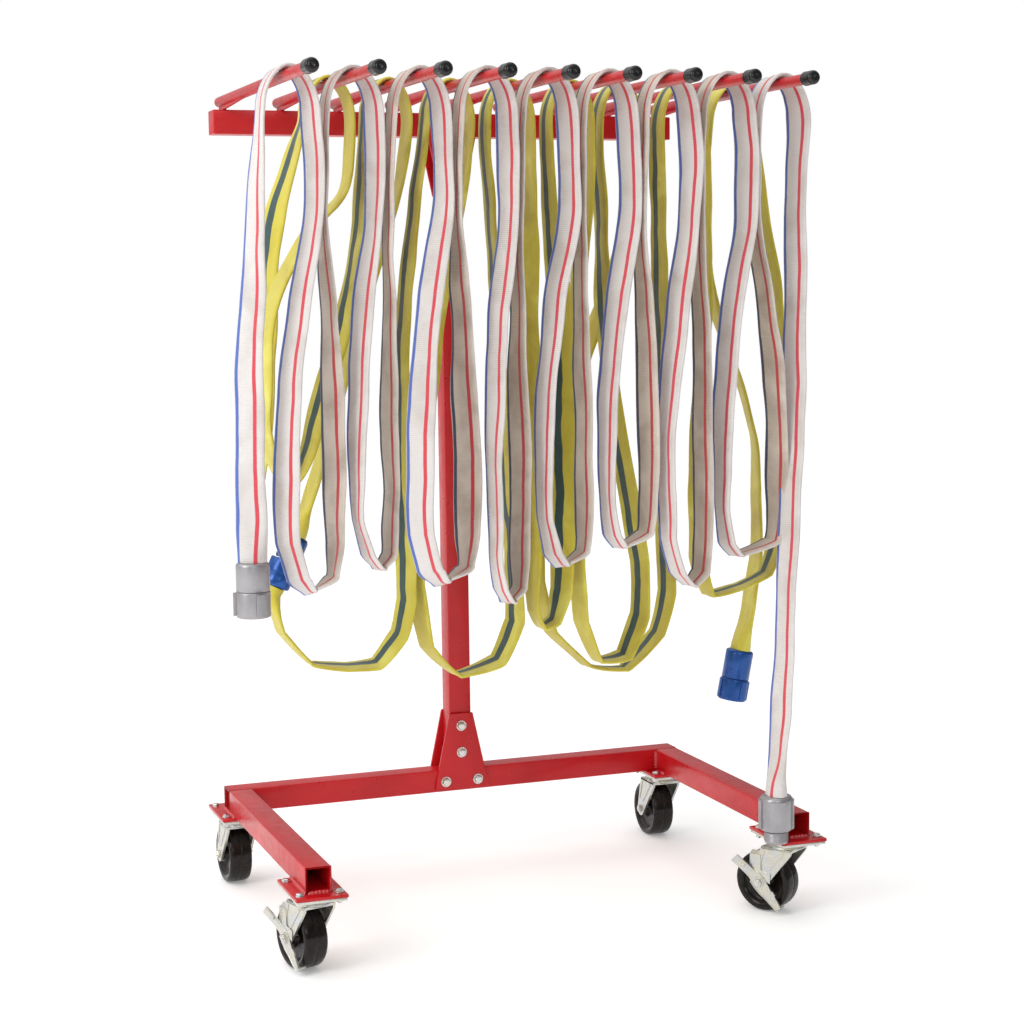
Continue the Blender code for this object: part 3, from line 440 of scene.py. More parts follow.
# ---- mesh helpers ------
class Shape:
    """Vertices and faces gathered in the rack's own frame, turned into one piece at the end."""

    def __init__(self):
        self.verts = []
        self.faces = []

    def add(self, verts, faces, place=None):
        base = len(self.verts)
        self.verts += [place @ Vector(v) if place else Vector(v) for v in verts]
        self.faces += [tuple(base + i for i in face) for face in faces]

    def rings(self, verts, count, place=None):
        """Joins rings of so many vertices each into one closed body."""
        last = len(verts) - count
        faces = []
        for k in range(0, last, count):
            for j in range(count):
                n = (j + 1) % count
                faces.append((k + j, k + count + j, k + count + n, k + n))
        faces += [tuple(range(count)), tuple(last + j for j in reversed(range(count)))]
        self.add(verts, faces, place)

    def lathe(self, profile, place, segments=48, closed=False):
        """Turns a profile of (radius, height) about the frame's Z axis."""
        verts, rings = [], []
        for r, z in profile:
            steps = 1 if r < 1e-9 else segments
            rings.append(range(len(verts), len(verts) + steps))
            verts += [(*on_circle(r, 360 * k / steps), z) for k in range(steps)]
        pairs = list(zip(rings, rings[1:]))
        if closed:
            pairs.append((rings[-1], rings[0]))
        faces = []
        for a, b in pairs:
            for k in range(segments):
                n = (k + 1) % segments
                if len(a) == 1:
                    faces.append((a[0], b[k], b[n]))
                elif len(b) == 1:
                    faces.append((a[k], b[0], a[n]))
                else:
                    faces.append((a[k], b[k], b[n], a[n]))
        self.add(verts, faces, place)

    def prism(self, outline, low, high, place, axes):
        """An outline in the first two axes, drawn out along the third."""
        verts = []
        for depth in (low, high):
            for a, b in outline:
                point = dict(zip(axes, (a, b, depth)))
                verts.append((point["X"], point["Y"], point["Z"]))
        self.rings(verts, len(outline), place)

    def sweep(self, path, section, place=None):
        """Moves a section, given as offsets at each path point, along that path."""
        verts = [p + o for p, offsets in zip(path, section) for o in offsets]
        self.rings(verts, len(section[0]), place)

    def piece(self, name, look, body, bevel=0.0, angle=42.0, segments=2, node=None):
        """Makes the object, in place of a CAD node if one is named, with its finish and its body."""
        mesh = bpy.data.meshes.new(name)
        mesh.from_pydata([tuple(v + SHIFT) for v in self.verts], [], self.faces)
        obj = bpy.data.objects.new(name, mesh)
        bpy.context.scene.collection.objects.link(obj)
        fix_normals(mesh)
        material, slot = FINISH[look]
        mesh.materials.append(material)
        mesh.polygons.foreach_set("use_smooth", [True] * len(mesh.polygons))
        if bevel:
            add_bevel(obj, bevel, angle, segments)
        else:
            mesh.set_sharp_from_angle(angle=math.radians(angle))
        if node:
            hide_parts(node)
        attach(obj, body)
        return obj


def fix_normals(mesh):
    bm = bmesh.new()
    bm.from_mesh(mesh)
    bmesh.ops.recalc_face_normals(bm, faces=bm.faces)
    bm.to_mesh(mesh)
    bm.free()


def add_bevel(obj, width, angle, segments):
    mod = obj.modifiers.new("soft_edges", "BEVEL")
    mod.width = width
    mod.segments = segments
    mod.limit_method = "ANGLE"
    mod.angle_limit = math.radians(angle)
    mod.harden_normals = True
    mod.use_clamp_overlap = True


def facing(origin, axis):
    """A frame at the origin point whose Z runs along the axis."""
    z = Vector(axis).normalized()
    side = Vector((0.0, 0.0, 1.0)) if abs(z.z) < 0.9 else Vector((0.0, 1.0, 0.0))
    x = side.cross(z).normalized()
    return Matrix.Translation(Vector(origin)) @ Matrix((x, z.cross(x), z)).transposed().to_4x4()


def mm(*points):
    """Points given in millimetres, as metres."""
    return [tuple(value / 1000 for value in point) for point in points]


def on_circle(r, degrees):
    return r * math.cos(math.radians(degrees)), r * math.sin(math.radians(degrees))


def hex_block(shape, place, levels, turn):
    """A hexagon drawn through levels of (radius, height)."""
    shape.rings([(*on_circle(r, 60 * k + turn), z) for r, z in levels for k in range(6)], 6, place)


def bolt_head(shape, place, r=0.0100, height=0.0065, washer=0.0118, turn=0.0):
    """A hexagon head with a domed top, on a thin washer."""
    low, top = 0.0012, 0.0012 + height
    shape.lathe([(0.0, 0.0), (washer, 0.0), (washer, low), (0.0, low)], place, 24)
    hex_block(shape, place, [(r, low), (r, top - 0.0022), (r * 0.90, top - 0.0006), (r * 0.62, top)], turn)


def nut_and_end(shape, place, r=0.0096, height=0.0075, end=0.0040, shank=0.0048, turn=10.0):
    """A nut with the bolt's end standing out of it."""
    hex_block(shape, place, [(r * 0.93, 0.0), (r, 0.0010), (r, height - 0.0012), (r * 0.90, height)], turn)
    profile = [(0.0, height - 0.001)]
    z = height
    while z < height + end - 0.0008:
        profile += [(shank, z), (shank - 0.0005, z + 0.0005)]
        z += 0.0010
    profile += [(shank - 0.0008, height + end), (0.0, height + end)]
    shape.lathe(profile, place, 20)


def weld(shape, start, end, face_a, face_b, size=0.0045):
    """A fillet bead between two faces, with the ripples of a hand-run weld."""
    start, end = Vector(start), Vector(end)
    a, b = Vector(face_a), Vector(face_b)
    count = max(6, int((end - start).length / 0.0016))
    path, section = [], []
    for k in range(count + 1):
        p = start.lerp(end, k / count)
        swell = 1.0 + 0.16 * math.sin(k * 1.35) + 0.22 * noise.noise(p * 60.0)
        taper = min(1.0, (k + 0.6) / 3.0, (count - k + 0.6) / 3.0)
        s = size * swell * taper
        path.append(p)
        section.append([a * 0.0002 + b * 0.0002, a * s, a * (s * 0.72) + b * (s * 0.42),
                        a * (s * 0.42) + b * (s * 0.72), b * s])
    shape.sweep(path, section)


# ---- hoses ------
def peg_x(k):
    return (k - (PEG_COUNT - 1) / 2) * PEG_PITCH


def arch(k, y_in, y_out, direction=1, neck_turn=0.0):
    """The half ellipse a hose makes over peg k, from one side to the other."""
    points = []
    for step in range(9):
        a = math.pi * step / 8
        x = peg_x(k) - direction * ARCH_A * math.cos(a)
        y = y_in + (y_out - y_in) * step / 8
        top = PEG_Z + PEG_R + GAP + HOSE_T / 2 + 0.0010
        z = top - ARCH_B * (1 - math.sin(a))
        points.append((x, y, z, -neck_turn * max(0.0, (step - 3) / 5)))
    return points


def white_loop(k):
    (dn, db), (un, ub), low, yd, yu, td, tu, lean = WHITE_LOOPS[k]
    y0 = WHITE_DRAPE_Y[k] - 0.006
    y1 = WHITE_DRAPE_Y[k + 1] + 0.006
    mid = (db + ub) / 2
    half = (ub - db) / 2
    ym = (yd + yu) / 2
    return [
        (dn, y0 + (yd - y0) * 0.3, NECK_Z, -NECK_TURN),
        (dn + (db - dn) * 0.55, y0 + (yd - y0) * 0.7, 1.270, -max(td * 0.8, NECK_TURN)),
        (dn + (db - dn) * 0.90, yd, 1.090, -max(td * 0.9, NECK_TURN * 0.8)),
        (db, yd, 0.935, -max(td, NECK_TURN * 0.4)),
        (db + 0.001, yd, low + 0.098, -td),
        (mid - half * 0.55 * (1.0 - lean), (yd + ym) / 2, low + 0.026, -td * 0.75 - 6),
        (mid + half * lean, ym, low, -td * 0.25 - 4),
        (mid + half * 0.82, (yu + ym) / 2, low + 0.026, tu * 0.3),
        (ub - 0.001, yu, low + 0.090, tu * 0.8),
        (ub, yu, 0.935, tu),
        (ub + (un - ub) * 0.15, yu, 1.090, tu * 0.9),
        (ub + (un - ub) * 0.50, yu + (y1 - yu) * 0.5, 1.270, tu * 0.4),
        (un, yu + (y1 - yu) * 0.8, NECK_Z, 0.0),
    ]


def white_route():
    route = list(LEFT_TAIL)
    for k in range(PEG_COUNT):
        y = WHITE_DRAPE_Y[k]
        route += arch(k, y + 0.006, y - 0.006, neck_turn=NECK_TURN)
        if k < PEG_COUNT - 1:
            route += white_loop(k)
    return route + RIGHT_TAIL


def yellow_left_route():
    route = YELLOW_LEFT_A + arch(1, -0.370, -0.380) + YELLOW_LEFT_B
    return route + arch(2, -0.370, -0.355) + YELLOW_LEFT_C


def yellow_right_route():
    route = YELLOW_RIGHT_A + arch(3, -0.370, -0.374) + YELLOW_LOOP_B
    route += arch(4, -0.380, -0.384) + YELLOW_LOOP_C
    route += arch(5, -0.398, -0.396) + YELLOW_LOOP_D
    route += arch(6, -0.366, -0.356) + YELLOW_LOOP_E
    route += arch(7, -0.392, -0.404) + YELLOW_LOOP_F
    return route + arch(8, -0.380, -0.360, -1) + YELLOW_TAIL


HALF_SECTION = 12  # points across one face of the hose
STEP = 0.0065  # distance between the sections along the hose
END_BLEND = 0.085  # length over which the flat hose opens into its coupling
END_HALF = (0.0292, 0.0200)
DRAPE_Z = 1.655  # above this the hose lies tight over its peg
WOBBLE = 0.0032
TURN_WOBBLE = 8.0  # degrees
CUP = 0.0022
DENT = 0.0012
FINE_DENT = 0.0003
KINK = 0.68  # how far the folds at the loops' bottoms are from a smooth curve
KINK_TOP = 0.98
KINK_FADE = 0.16


def step_up(x):
    x = min(1.0, max(0.0, x))
    return x * x * (3 - 2 * x)


def smooth(points):
    """A Catmull-Rom curve through the points, drawn toward straight runs where the loops fold."""
    pts = [Vector(p[:3]) for p in points]
    turn = [p[3] for p in points]
    pts = [pts[0] * 2 - pts[1]] + pts + [pts[-1] * 2 - pts[-2]]
    line = []
    for i in range(1, len(pts) - 2):
        p0, p1, p2, p3 = pts[i - 1], pts[i], pts[i + 1], pts[i + 2]
        t1 = max((p1 - p0).length, 1e-6) ** 0.5
        t2 = t1 + max((p2 - p1).length, 1e-6) ** 0.5
        t3 = t2 + max((p3 - p2).length, 1e-6) ** 0.5
        count = max(2, int((p2 - p1).length / STEP))
        for s in range(count):
            t = t1 + (t2 - t1) * s / count
            a1 = p0.lerp(p1, t / t1)
            a2 = p1.lerp(p2, (t - t1) / (t2 - t1))
            a3 = p2.lerp(p3, (t - t2) / (t3 - t2))
            b1 = a1.lerp(a2, t / t2)
            b2 = a2.lerp(a3, (t - t1) / (t3 - t1))
            f = s / count
            curve = b1.lerp(b2, f)
            chord = p1.lerp(p2, f)
            kinked = KINK * step_up((KINK_TOP - chord.z) / KINK_FADE)
            line.append((curve.lerp(chord, kinked), turn[i - 1] + (turn[i] - turn[i - 1]) * step_up(f)))
    line.append((pts[-2], turn[-1]))
    return line


def drift(x, y, z):
    return noise.noise(Vector((x, y, z)))


def hose(name, route, look, node, inner_from=0.0, inner_to=0.0, seed=0.0):
    """A flat woven hose: two jacket faces, thick folded edges, and the dents of use."""
    line = smooth(route)
    distance = [0.0]
    for (a, _), (b, _) in zip(line, line[1:]):
        distance.append(distance[-1] + (b - a).length)
    total = distance[-1]
    verts, uvs, centre = [], [], []
    across = [-math.cos(math.pi * (j + 0.5) / HALF_SECTION) for j in range(HALF_SECTION)]
    for i, ((p, turn), s) in enumerate(zip(line, distance)):
        t = (line[min(i + 1, len(line) - 1)][0] - line[max(i - 1, 0)][0]).normalized()
        from_end = min(s, total - s)
        near = 1.0 - step_up(from_end / END_BLEND)
        loose = step_up((DRAPE_Z - p.z) / 0.10) * step_up((from_end - 0.03) / 0.12)
        wide = Vector((0.0, 1.0, 0.0))
        wide = (wide - t * wide.dot(t)).normalized()
        wobble = TURN_WOBBLE * drift(s * 7.0, seed, 3.1) * loose
        wide = Matrix.Rotation(math.radians(turn + wobble), 3, t) @ wide
        flat = t.cross(wide)
        push = loose * WOBBLE
        p = p + flat * (push * drift(s * 11.0, seed, 0.4))
        p = p + wide * (push * 1.4 * drift(s * 7.0, seed, 7.7))
        centre.append(p + SHIFT)
        cup = CUP * drift(s * 4.0, seed, 11.0) * loose
        half_w = HOSE_W / 2 * (1.0 + 0.012 * drift(s * 9.0, seed, 5.0) * loose)
        half_w += (END_HALF[0] - half_w) * near
        for side in (1, -1):
            for u in across[::side]:
                edge = abs(u)
                fall = math.sqrt(max(0.0, 1.0 - edge ** 9))
                half_t = HOSE_T / 2 * fall * (0.80 + 0.20 * step_up((edge - 0.55) / 0.3))
                dent = drift(u * 1.3 + side * 9.0, s * 16.0, seed)
                fine = drift(u * 3.0, s * 55.0, seed + side)
                half_t += (DENT * dent + FINE_DENT * fine) * loose * fall
                half_t += (END_HALF[1] * math.sqrt(max(0.0, 1.0 - u * u)) - half_t) * near
                lift = side * half_t + cup * (u * u - 0.4)
                verts.append(p + wide * (half_w * u) + flat * lift)
                # flags the inner face in the UVs: on the white hose, from inner_from after its start to
                # inner_to before its end, it takes painted shade; on the yellow hose it carries the band
                inner = side == 1 and inner_from <= s <= total - inner_to
                uvs.append(((u + 1) / 2 + (2.0 if inner else 0.0), s))
    shape = Shape()
    shape.rings(verts, 2 * HALF_SECTION)
    obj = shape.piece(name, look, "rack", angle=80.0, node=node)
    fold_uvs(obj.data, uvs)


def fold_uvs(mesh, uvs):
    """UVs per corner; on the folds, all corners take the face of the polygon's outer side."""
    flat = []
    for poly in mesh.polygons:
        mine = [uvs[mesh.loops[i].vertex_index] for i in poly.loop_indices]
        on_fold = len({u > 1.5 for u, _ in mine}) == 2
        for u, v in mine:
            flat += [u - 2.0 if on_fold and u > 1.5 else u, v]
    mesh.uv_layers.new(name="jacket").data.foreach_set("uv", flat)


# ---- couplings ------
def threads(r, z0, z1, pitch=0.0028, depth=0.0011):
    """Profile points of an outside thread between two heights."""
    points = []
    z = z0
    while z + pitch <= z1:
        points += [(r - depth, z), (r, z + pitch * 0.35), (r, z + pitch * 0.60)]
        points.append((r - depth, z + pitch * 0.95))
        z += pitch
    return points


def lug(shape, place, r0, r1, turn, half, z0, z1, steps=8):
    """A curved block standing out of a ring."""
    verts = []
    for k in range(steps + 1):
        a = turn - half + 2 * half * k / steps
        verts += [(*on_circle(r, a), z) for r, z in ((r0, z0), (r1, z0), (r1, z1), (r0, z1))]
    shape.rings(verts, 4, place)


def female_shank(tag, look, r, length):
    stem = "coupling_" + tag
    place = facing(*COUPLINGS[tag])
    shape = Shape()
    shape.lathe([(0.0, 0.0), (r - 0.0055, 0.0), (r - 0.0025, 0.0012), (r - 0.0006, 0.0034), (r, 0.006),
                 (r, length - 0.0012), (r - 0.0012, length), (BORE, length), (BORE, 0.012), (0.0, 0.012)],
                place, 72)
    return shape.piece(stem + "_body", look, "rack", 0.0005, 50.0, node=stem + "_shank")


def female_swivel(tag, look, body, r, lug_r, start, length, turns, half):
    """The ring that turns on the shank, with its inside thread, its lugs and the gasket in it."""
    stem = "coupling_" + tag
    place = facing(*COUPLINGS[tag])
    shape = Shape()
    end = start + length
    profile = [(BORE, start), (r - 0.0022, start), (r - 0.0006, start + 0.0008), (r, start + 0.0026),
               (r, end - 0.0034), (r - 0.0009, end - 0.0012), (r - 0.0028, end),
               (BORE + 0.0058, end), (BORE + 0.0058, end - 0.0030)]
    z = end - 0.0045
    while z > start + 0.016:
        profile += [(BORE + 0.0042, z), (BORE + 0.0055, z - 0.0012)]
        z -= 0.0026
    profile += [(BORE + 0.0045, start + 0.013), (BORE, start + 0.013)]
    shape.lathe(profile, place, 72, True)
    for turn in turns:
        lug(shape, place, r - 0.0015, lug_r, turn, half, start + 0.0030, end - 0.0035)
    ring = shape.piece(stem + "_ring", look, body, 0.0010, 50.0, 3, stem + "_swivel")
    gasket = Shape()
    lip = mm((0.2, 13.3), (4, 13.3), (4.3, 15), (3.8, 16.5), (0.4, 16.5))
    gasket.lathe([(BORE + a, start + b) for a, b in lip], place, 48, True)
    return [ring, gasket.piece(stem + "_gasket", "rubber", body)]


def male_coupling(tag, node, look, r, thread_r, length, thread, turns, half, out):
    """A body with lugs, as long as stated, and the threaded end past it."""
    place = facing(*COUPLINGS[tag])
    shape = Shape()
    end = length + thread
    profile = [(0.0, 0.0), (r - 0.0075, 0.0), (r - 0.0040, 0.0014), (r - 0.0012, 0.0050), (r, 0.0095),
               (r, length - 0.0060), (r - 0.0022, length - 0.0012), (r - 0.0040, length),
               (thread_r - 0.0030, length), (thread_r - 0.0030, length + 0.0030)]
    profile += threads(thread_r, length + 0.0030, end - 0.0016)
    profile += [(thread_r - 0.0016, end - 0.0006), (thread_r - 0.0024, end), (BORE, end), (BORE, 0.012),
                (0.0, 0.012)]
    shape.lathe(profile, place, 72)
    for turn in turns:
        lug(shape, place, r - 0.0020, r + out, turn, half, 0.0085, length - 0.0040)
    return shape.piece(node + "_body", look, "rack", 0.0006, 50.0, node=node)


def joint_female():
    """The female half of the joint, facing the male half and screwed onto it."""
    origin, axis = COUPLINGS["yellow_joint"]
    place = facing(Vector(origin) + Vector(axis).normalized() * JOINT_LENGTH, [-c for c in axis])
    shape = Shape()
    body = mm((0, 0), (24.5, 0), (27.8, 1.4), (29.2, 4.5), (29.2, 28), (28.2, 29), (28.2, 30.5),
              (29.8, 31.5), (29.8, 56.5), (29, 57.5))
    shape.lathe(body + [(BORE, 0.0575), (BORE, 0.012), (0.0, 0.012)], place, 64)
    for turn in range(0, 360, 60):
        lug(shape, place, 0.0285, 0.0304, turn, 15, 0.0335, 0.0550)
    stem = "coupling_joint_female"
    return shape.piece(stem + "_body", "blue", "rack", 0.0006, 50.0, node=stem)


def make_couplings():
    """Every coupling, as the pieces that go with the white, the left and the right yellow hose."""
    white = [female_shank("white_left", "grey", 0.0325, 0.0550)]
    white += female_swivel("white_left", "grey", "swivel_ring_white", 0.0330, 0.0388, 0.0553, 0.0500,
                           range(20, 360, 120), 13)
    white.append(male_coupling("white_right", "coupling_white_right", "grey", 0.0335, 0.0250, 0.0722, 0.0264,
                               range(22, 360, 90), 26, 0.0028))
    right = [female_shank("yellow_right", "blue", 0.0303, 0.0640)]
    right += female_swivel("yellow_right", "blue", "swivel_ring_yellow", 0.0312, 0.0333, 0.0643, 0.0480,
                           range(10, 360, 60), 17)
    joint_male = male_coupling("yellow_joint", "coupling_joint_male", "blue", 0.0292, 0.0245, 0.0400, 0.0117,
                               range(40, 360, 120), 22, 0.0008)
    right.append(joint_female())
    far_end = male_coupling("yellow_left", "coupling_yellow_left", "blue", 0.0292, 0.0250, 0.0550, 0.0238,
                            range(30, 360, 120), 22, 0.0008)
    return white, [far_end, joint_male], right


def make_hoses():
    white, yellow_left, yellow_right = make_couplings()
    # the inner faces from 1.05 m after the start to 1.60 m before the end take painted shade
    hose("white_hose", white_route(), "white", "hose_white", 1.05, 1.60, seed=1.7)
    hose("yellow_hose_left", yellow_left_route(), "yellow", "hose_yellow_left", seed=5.3)
    hose("yellow_hose_right", yellow_right_route(), "yellow", "hose_yellow_right", seed=8.9)


# ---- rack ------
def dress_cad_nodes():
    """Rounded edges and paint for the CAD nodes that are shown as they are."""
    for name in ("rear_beam", "leg_left", "leg_right", "post", "crossbar"):
        dress(name, "paint", 0.0035)
    for end in ("foot", "head"):
        for side in ("front", "rear"):
            dress("plate_%s_%s" % (end, side), "paint", 0.0010)
    for tag in CASTERS:
        dress("pad_" + tag, "paint", 0.0010)
        dress("caster_plate_" + tag, "zinc", 0.0010)


def dress(name, look, width):
    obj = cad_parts[name]
    for item in obj.material_slots:
        item.material = FINISH[look][0]
    if not obj.material_slots:
        obj.data.materials.append(FINISH[look][0])
    obj.data.polygons.foreach_set("use_smooth", [True] * len(obj.data.polygons))
    obj.modifiers.new("join_corners", "WELD").merge_threshold = 0.00002
    add_bevel(obj, width, 35.0, 3)


def make_pegs():
    length = PEG_BACK - PEG_FRONT
    rim = PEG_R - 0.0003
    foot = BAR_TOP + GAP
    seat = PEG_Z - 0.0098
    web = [(0.0180, foot), (-0.0240, foot), (WEB_FRONT, seat - 0.0005), (WEB_FRONT, seat), (0.0180, seat)]
    for k in range(PEG_COUNT):
        place = facing((peg_x(k), PEG_BACK, PEG_Z), (0.0, -1.0, 0.0))
        peg = Shape()
        peg.lathe([(rim, 0.0), (PEG_R, 0.0004), (PEG_R, length - 0.0004), (rim - 0.0001, length),
                   (PEG_BORE, length), (PEG_BORE, 0.0)], place, 40, True)
        peg.prism(web, -WEB_HALF, WEB_HALF, Matrix.Translation((peg_x(k), 0.0, 0.0)), "YZX")
        peg.piece("peg_tube_%d" % (k + 1), "paint", "rack", angle=40.0, node="peg_%d" % (k + 1))
        make_cap(k, place, length + GAP)


def make_cap(k, place, start):
    """A dipped vinyl cap with a rolled lip and a small dimple in its domed end."""
    cap = Shape()
    tip = start + CAP_WALL
    back = tip - CAP_LEN
    inside = PEG_R + GAP
    # how far inside the cap's outer radius, and how far from its tip
    outer = mm((1, 36), (0.2, 35.4), (0, 34.4), (0.3, 32.6), (0.3, 7.5), (0.6, 5.2), (1.6, 3),
               (3.4, 1.2), (6.2, 0.2), (8.3, 0), (10.9, 0.2), (12.3, 0.8), (14.3, 1))
    profile = [(0.0, start), (inside, start), (inside, back)]
    cap.lathe(profile + [(CAP_R - a, tip - b) for a, b in outer], place, 40)
    cap.piece("peg_cap_%d" % (k + 1), "cap", "rack", angle=60.0, node="cap_%d" % (k + 1))


def make_bolts():
    """Bolts through the four plates and the four pads, with nuts behind and below."""
    bolts = Shape()
    out = TUBE / 2 + GAP + PLATE_T
    turn = 7.0
    for x, z in ((0.0, 0.150), (0.0, 0.089), (-0.038, 0.024), (0.038, 0.024)):
        for height in (BASE_Z + z, BAR_TOP - z):
            bolt_head(bolts, facing((x, -out, height), (0, -1, 0)), turn=turn)
            nut_and_end(bolts, facing((x, out, height), (0, 1, 0)), turn=turn + 14)
            turn += 17.0
    bolts.piece("plate_bolts", "bolt", "rack", 0.0004, 30.0)
    for tag, (side, y, _) in CASTERS.items():
        pad = Shape()
        for dx, dy in ((-0.039, -0.053), (-0.039, 0.053), (0.039, -0.053), (0.039, 0.053)):
            x = side * LEG_X + dx
            # the coupling that stands on the right front pad takes this bolt's place
            if tag == "front_right" and dx < 0 and dy < 0:
                continue
            above = facing((x, y + dy, BASE_Z - GAP), (0, 0, 1))
            below = facing((x, y + dy, BASE_Z - 0.0129), (0, 0, -1))
            bolt_head(pad, above, 0.0078, 0.0052, 0.0092, turn)
            nut_and_end(pad, below, 0.0076, 0.0062, 0.0026, 0.0038, turn)
            turn += 23.0
        pad.piece("pad_bolts_" + tag, "bolt", "rack", 0.0003, 30.0)


def make_welds():
    welds = Shape()
    up = Vector((0, 0, 1))
    front = Vector((0, -1, 0))
    face = -TUBE / 2
    for side in (-1, 1):
        x_in = side * (HALF_WIDTH - TUBE)
        x_out = side * HALF_WIDTH
        xc = side * LEG_X
        inward = Vector((-side, 0, 0))
        top = BASE_Z + TUBE
        weld(welds, (x_in, face, BASE_Z + 0.003), (x_in, face, top - 0.004), inward, front, 0.0046)
        for x, way in ((x_in, inward), (x_out, -inward)):
            for start, end in ((FRONT_PAD_Y - 0.046, FRONT_PAD_Y + 0.073), (-0.073, face - 0.002)):
                weld(welds, (x, start, BASE_Z), (x, end, BASE_Z), way, up, 0.0048)
        weld(welds, (x_out, face, BASE_Z), (x_out, -face, BASE_Z), -inward, up, 0.0046)
        weld(welds, (xc - 0.022, -LEG_REACH, BASE_Z), (xc + 0.022, -LEG_REACH, BASE_Z), front, up, 0.0050)
    for k in range(PEG_COUNT):
        for s in (-1, 1):
            x = peg_x(k) + s * WEB_HALF
            weld(welds, (x, -0.023, BAR_TOP), (x, 0.018, BAR_TOP), (s, 0, 0), up, 0.0038)
    welds.piece("weld_beads", "weld", "rack", angle=70.0)


# ---- casters ------
def caster_frame(tag):
    side, y, heading = CASTERS[tag]
    turn = Matrix.Rotation(-math.radians(heading), 4, "Z")
    return Matrix.Translation((side * LEG_X, y, 0.0)) @ turn


def axle_frame(tag, out=0.0):
    """A frame on the axle that faces the caster's right, or its left where the distance out is negative."""
    rot = Matrix(((0.0, 1.0, 0.0), (0.0, 0.0, 1.0), (1.0, 0.0, 0.0))).transposed().to_4x4()
    place = caster_frame(tag) @ Matrix.Translation((out, TRAIL, WHEEL_R)) @ rot
    return place @ Matrix.Rotation(math.pi, 4, "X") if out < 0 else place


def make_fork(tag):
    """Two tapered pressed legs under a round crown, with two raised ribs on each leg."""
    place = caster_frame(tag)
    fork = Shape()
    leg = mm((-28, 140.5), (-26.2, 131))
    for k in range(17):
        y, z = on_circle(0.0165, 222 + 153 * k / 16)
        leg.append((TRAIL + y, WHEEL_R + z))
    leg += mm((48, 129), (44, 140.5))
    rib = mm((-12, 133), (30.5, 85), (34.5, 85), (-4, 133))
    far_rib = mm((34, 133), (50, 88), (53, 88), (39, 133))
    for s in (-1, 1):
        fork.prism(leg, *sorted((s * LEG_IN, s * LEG_OUT)), place, "YZX")
        for outline in (rib, far_rib):
            fork.prism(outline, *sorted((s * (LEG_OUT - 0.0008), s * (LEG_OUT + 0.0014))), place, "YZX")
        if s > 0 or tag not in BRAKED:
            boss = mm((6.6, 0), (12, 0), (11.5, 0.2), (6.6, 0.2))
            fork.lathe(boss, axle_frame(tag, s * LEG_OUT), 32, True)
    crown = mm((-34, 136.2), (34, 136.2), (34, 140.2), (32.2, 141.2), (-32.2, 141.2), (-34, 140.2))
    fork.prism(crown, -0.0285, 0.0445, place, "XZY")
    fork.lathe(mm((0, 138.5), (33, 138.5), (36.2, 140.8), (37.2, 142.5), (36.2, 145.2), (33.5, 147),
                  (33, 148), (0, 148)), place, 56)
    fork.piece("fork_legs_" + tag, "zinc", "caster_" + tag, 0.0009, 45.0, node="fork_" + tag)


def make_race(tag):
    """The double ball race under the top plate, and its grease fitting."""
    side, y, _ = CASTERS[tag]
    race = Shape()
    race.lathe(mm((30, 148.6), (33.5, 149), (36.8, 150.2), (37.8, 151.8), (37.2, 153.6), (35, 154.8),
                  (35.5, 156.2), (39, 158), (39.8, 158.7), (30, 158.7)),
               Matrix.Translation((side * LEG_X, y, 0.0)), 56, True)
    fitting = facing((side * LEG_X, y - 0.0372, 0.1540), (0, -1, 0.25))
    nipple = mm((0, 0), (3, 0), (3, 2.8), (2.2, 3.4), (2.2, 5.2), (3, 5.8), (2.6, 7.4), (0, 7.8))
    race.lathe(nipple, fitting, 16)
    race.piece("ball_race_" + tag, "zinc", "rack", 0.0004, 50.0)


def make_wheel(tag):
    """A moulded wheel: crowned tread with its mould line, dished sides and a hub with a bearing."""
    wheel = Shape()
    half = mm((6.3, 27.8), (9.5, 27.8), (9.8, 27), (15, 27), (16.8, 26.2), (17.8, 24),
              (18.8, 16.8), (20.5, 15), (26, 14.3), (40, 14.3), (42.5, 15.2), (45.2, 19),
              (47.5, 22.4), (50.5, 23.8), (54.5, 24.8), (57.5, 25), (60.2, 23.8), (62, 21.5),
              (63, 18), (63.45, 12), (63.5, 5), (63.5, 1.2), (63, 0.4))
    wheel.lathe(half + [(r, -z) for r, z in reversed(half)], axle_frame(tag), 96, True)
    wheel.piece("wheel_tread_" + tag, "wheel", "wheel_body_" + tag, angle=50.0, node="wheel_" + tag)


def make_axle(tag):
    axle = Shape()
    right = LEG_OUT + GAP
    left = right + (LEVER_T if tag in BRAKED else 0.0)
    axle.lathe([(0.0, -left), (0.0058, -left), (0.0058, right), (0.0, right)], axle_frame(tag), 24)
    bolt_head(axle, axle_frame(tag, right), 0.0096, 0.0052, 0.0108, 12.0)
    nut_and_end(axle, axle_frame(tag, -left), 0.0094, 0.0052, 0.0017, 0.0052, 4.0)
    axle.piece("axle_bolt_" + tag, "bolt", "caster_" + tag, 0.0003, 30.0, node="axle_" + tag)


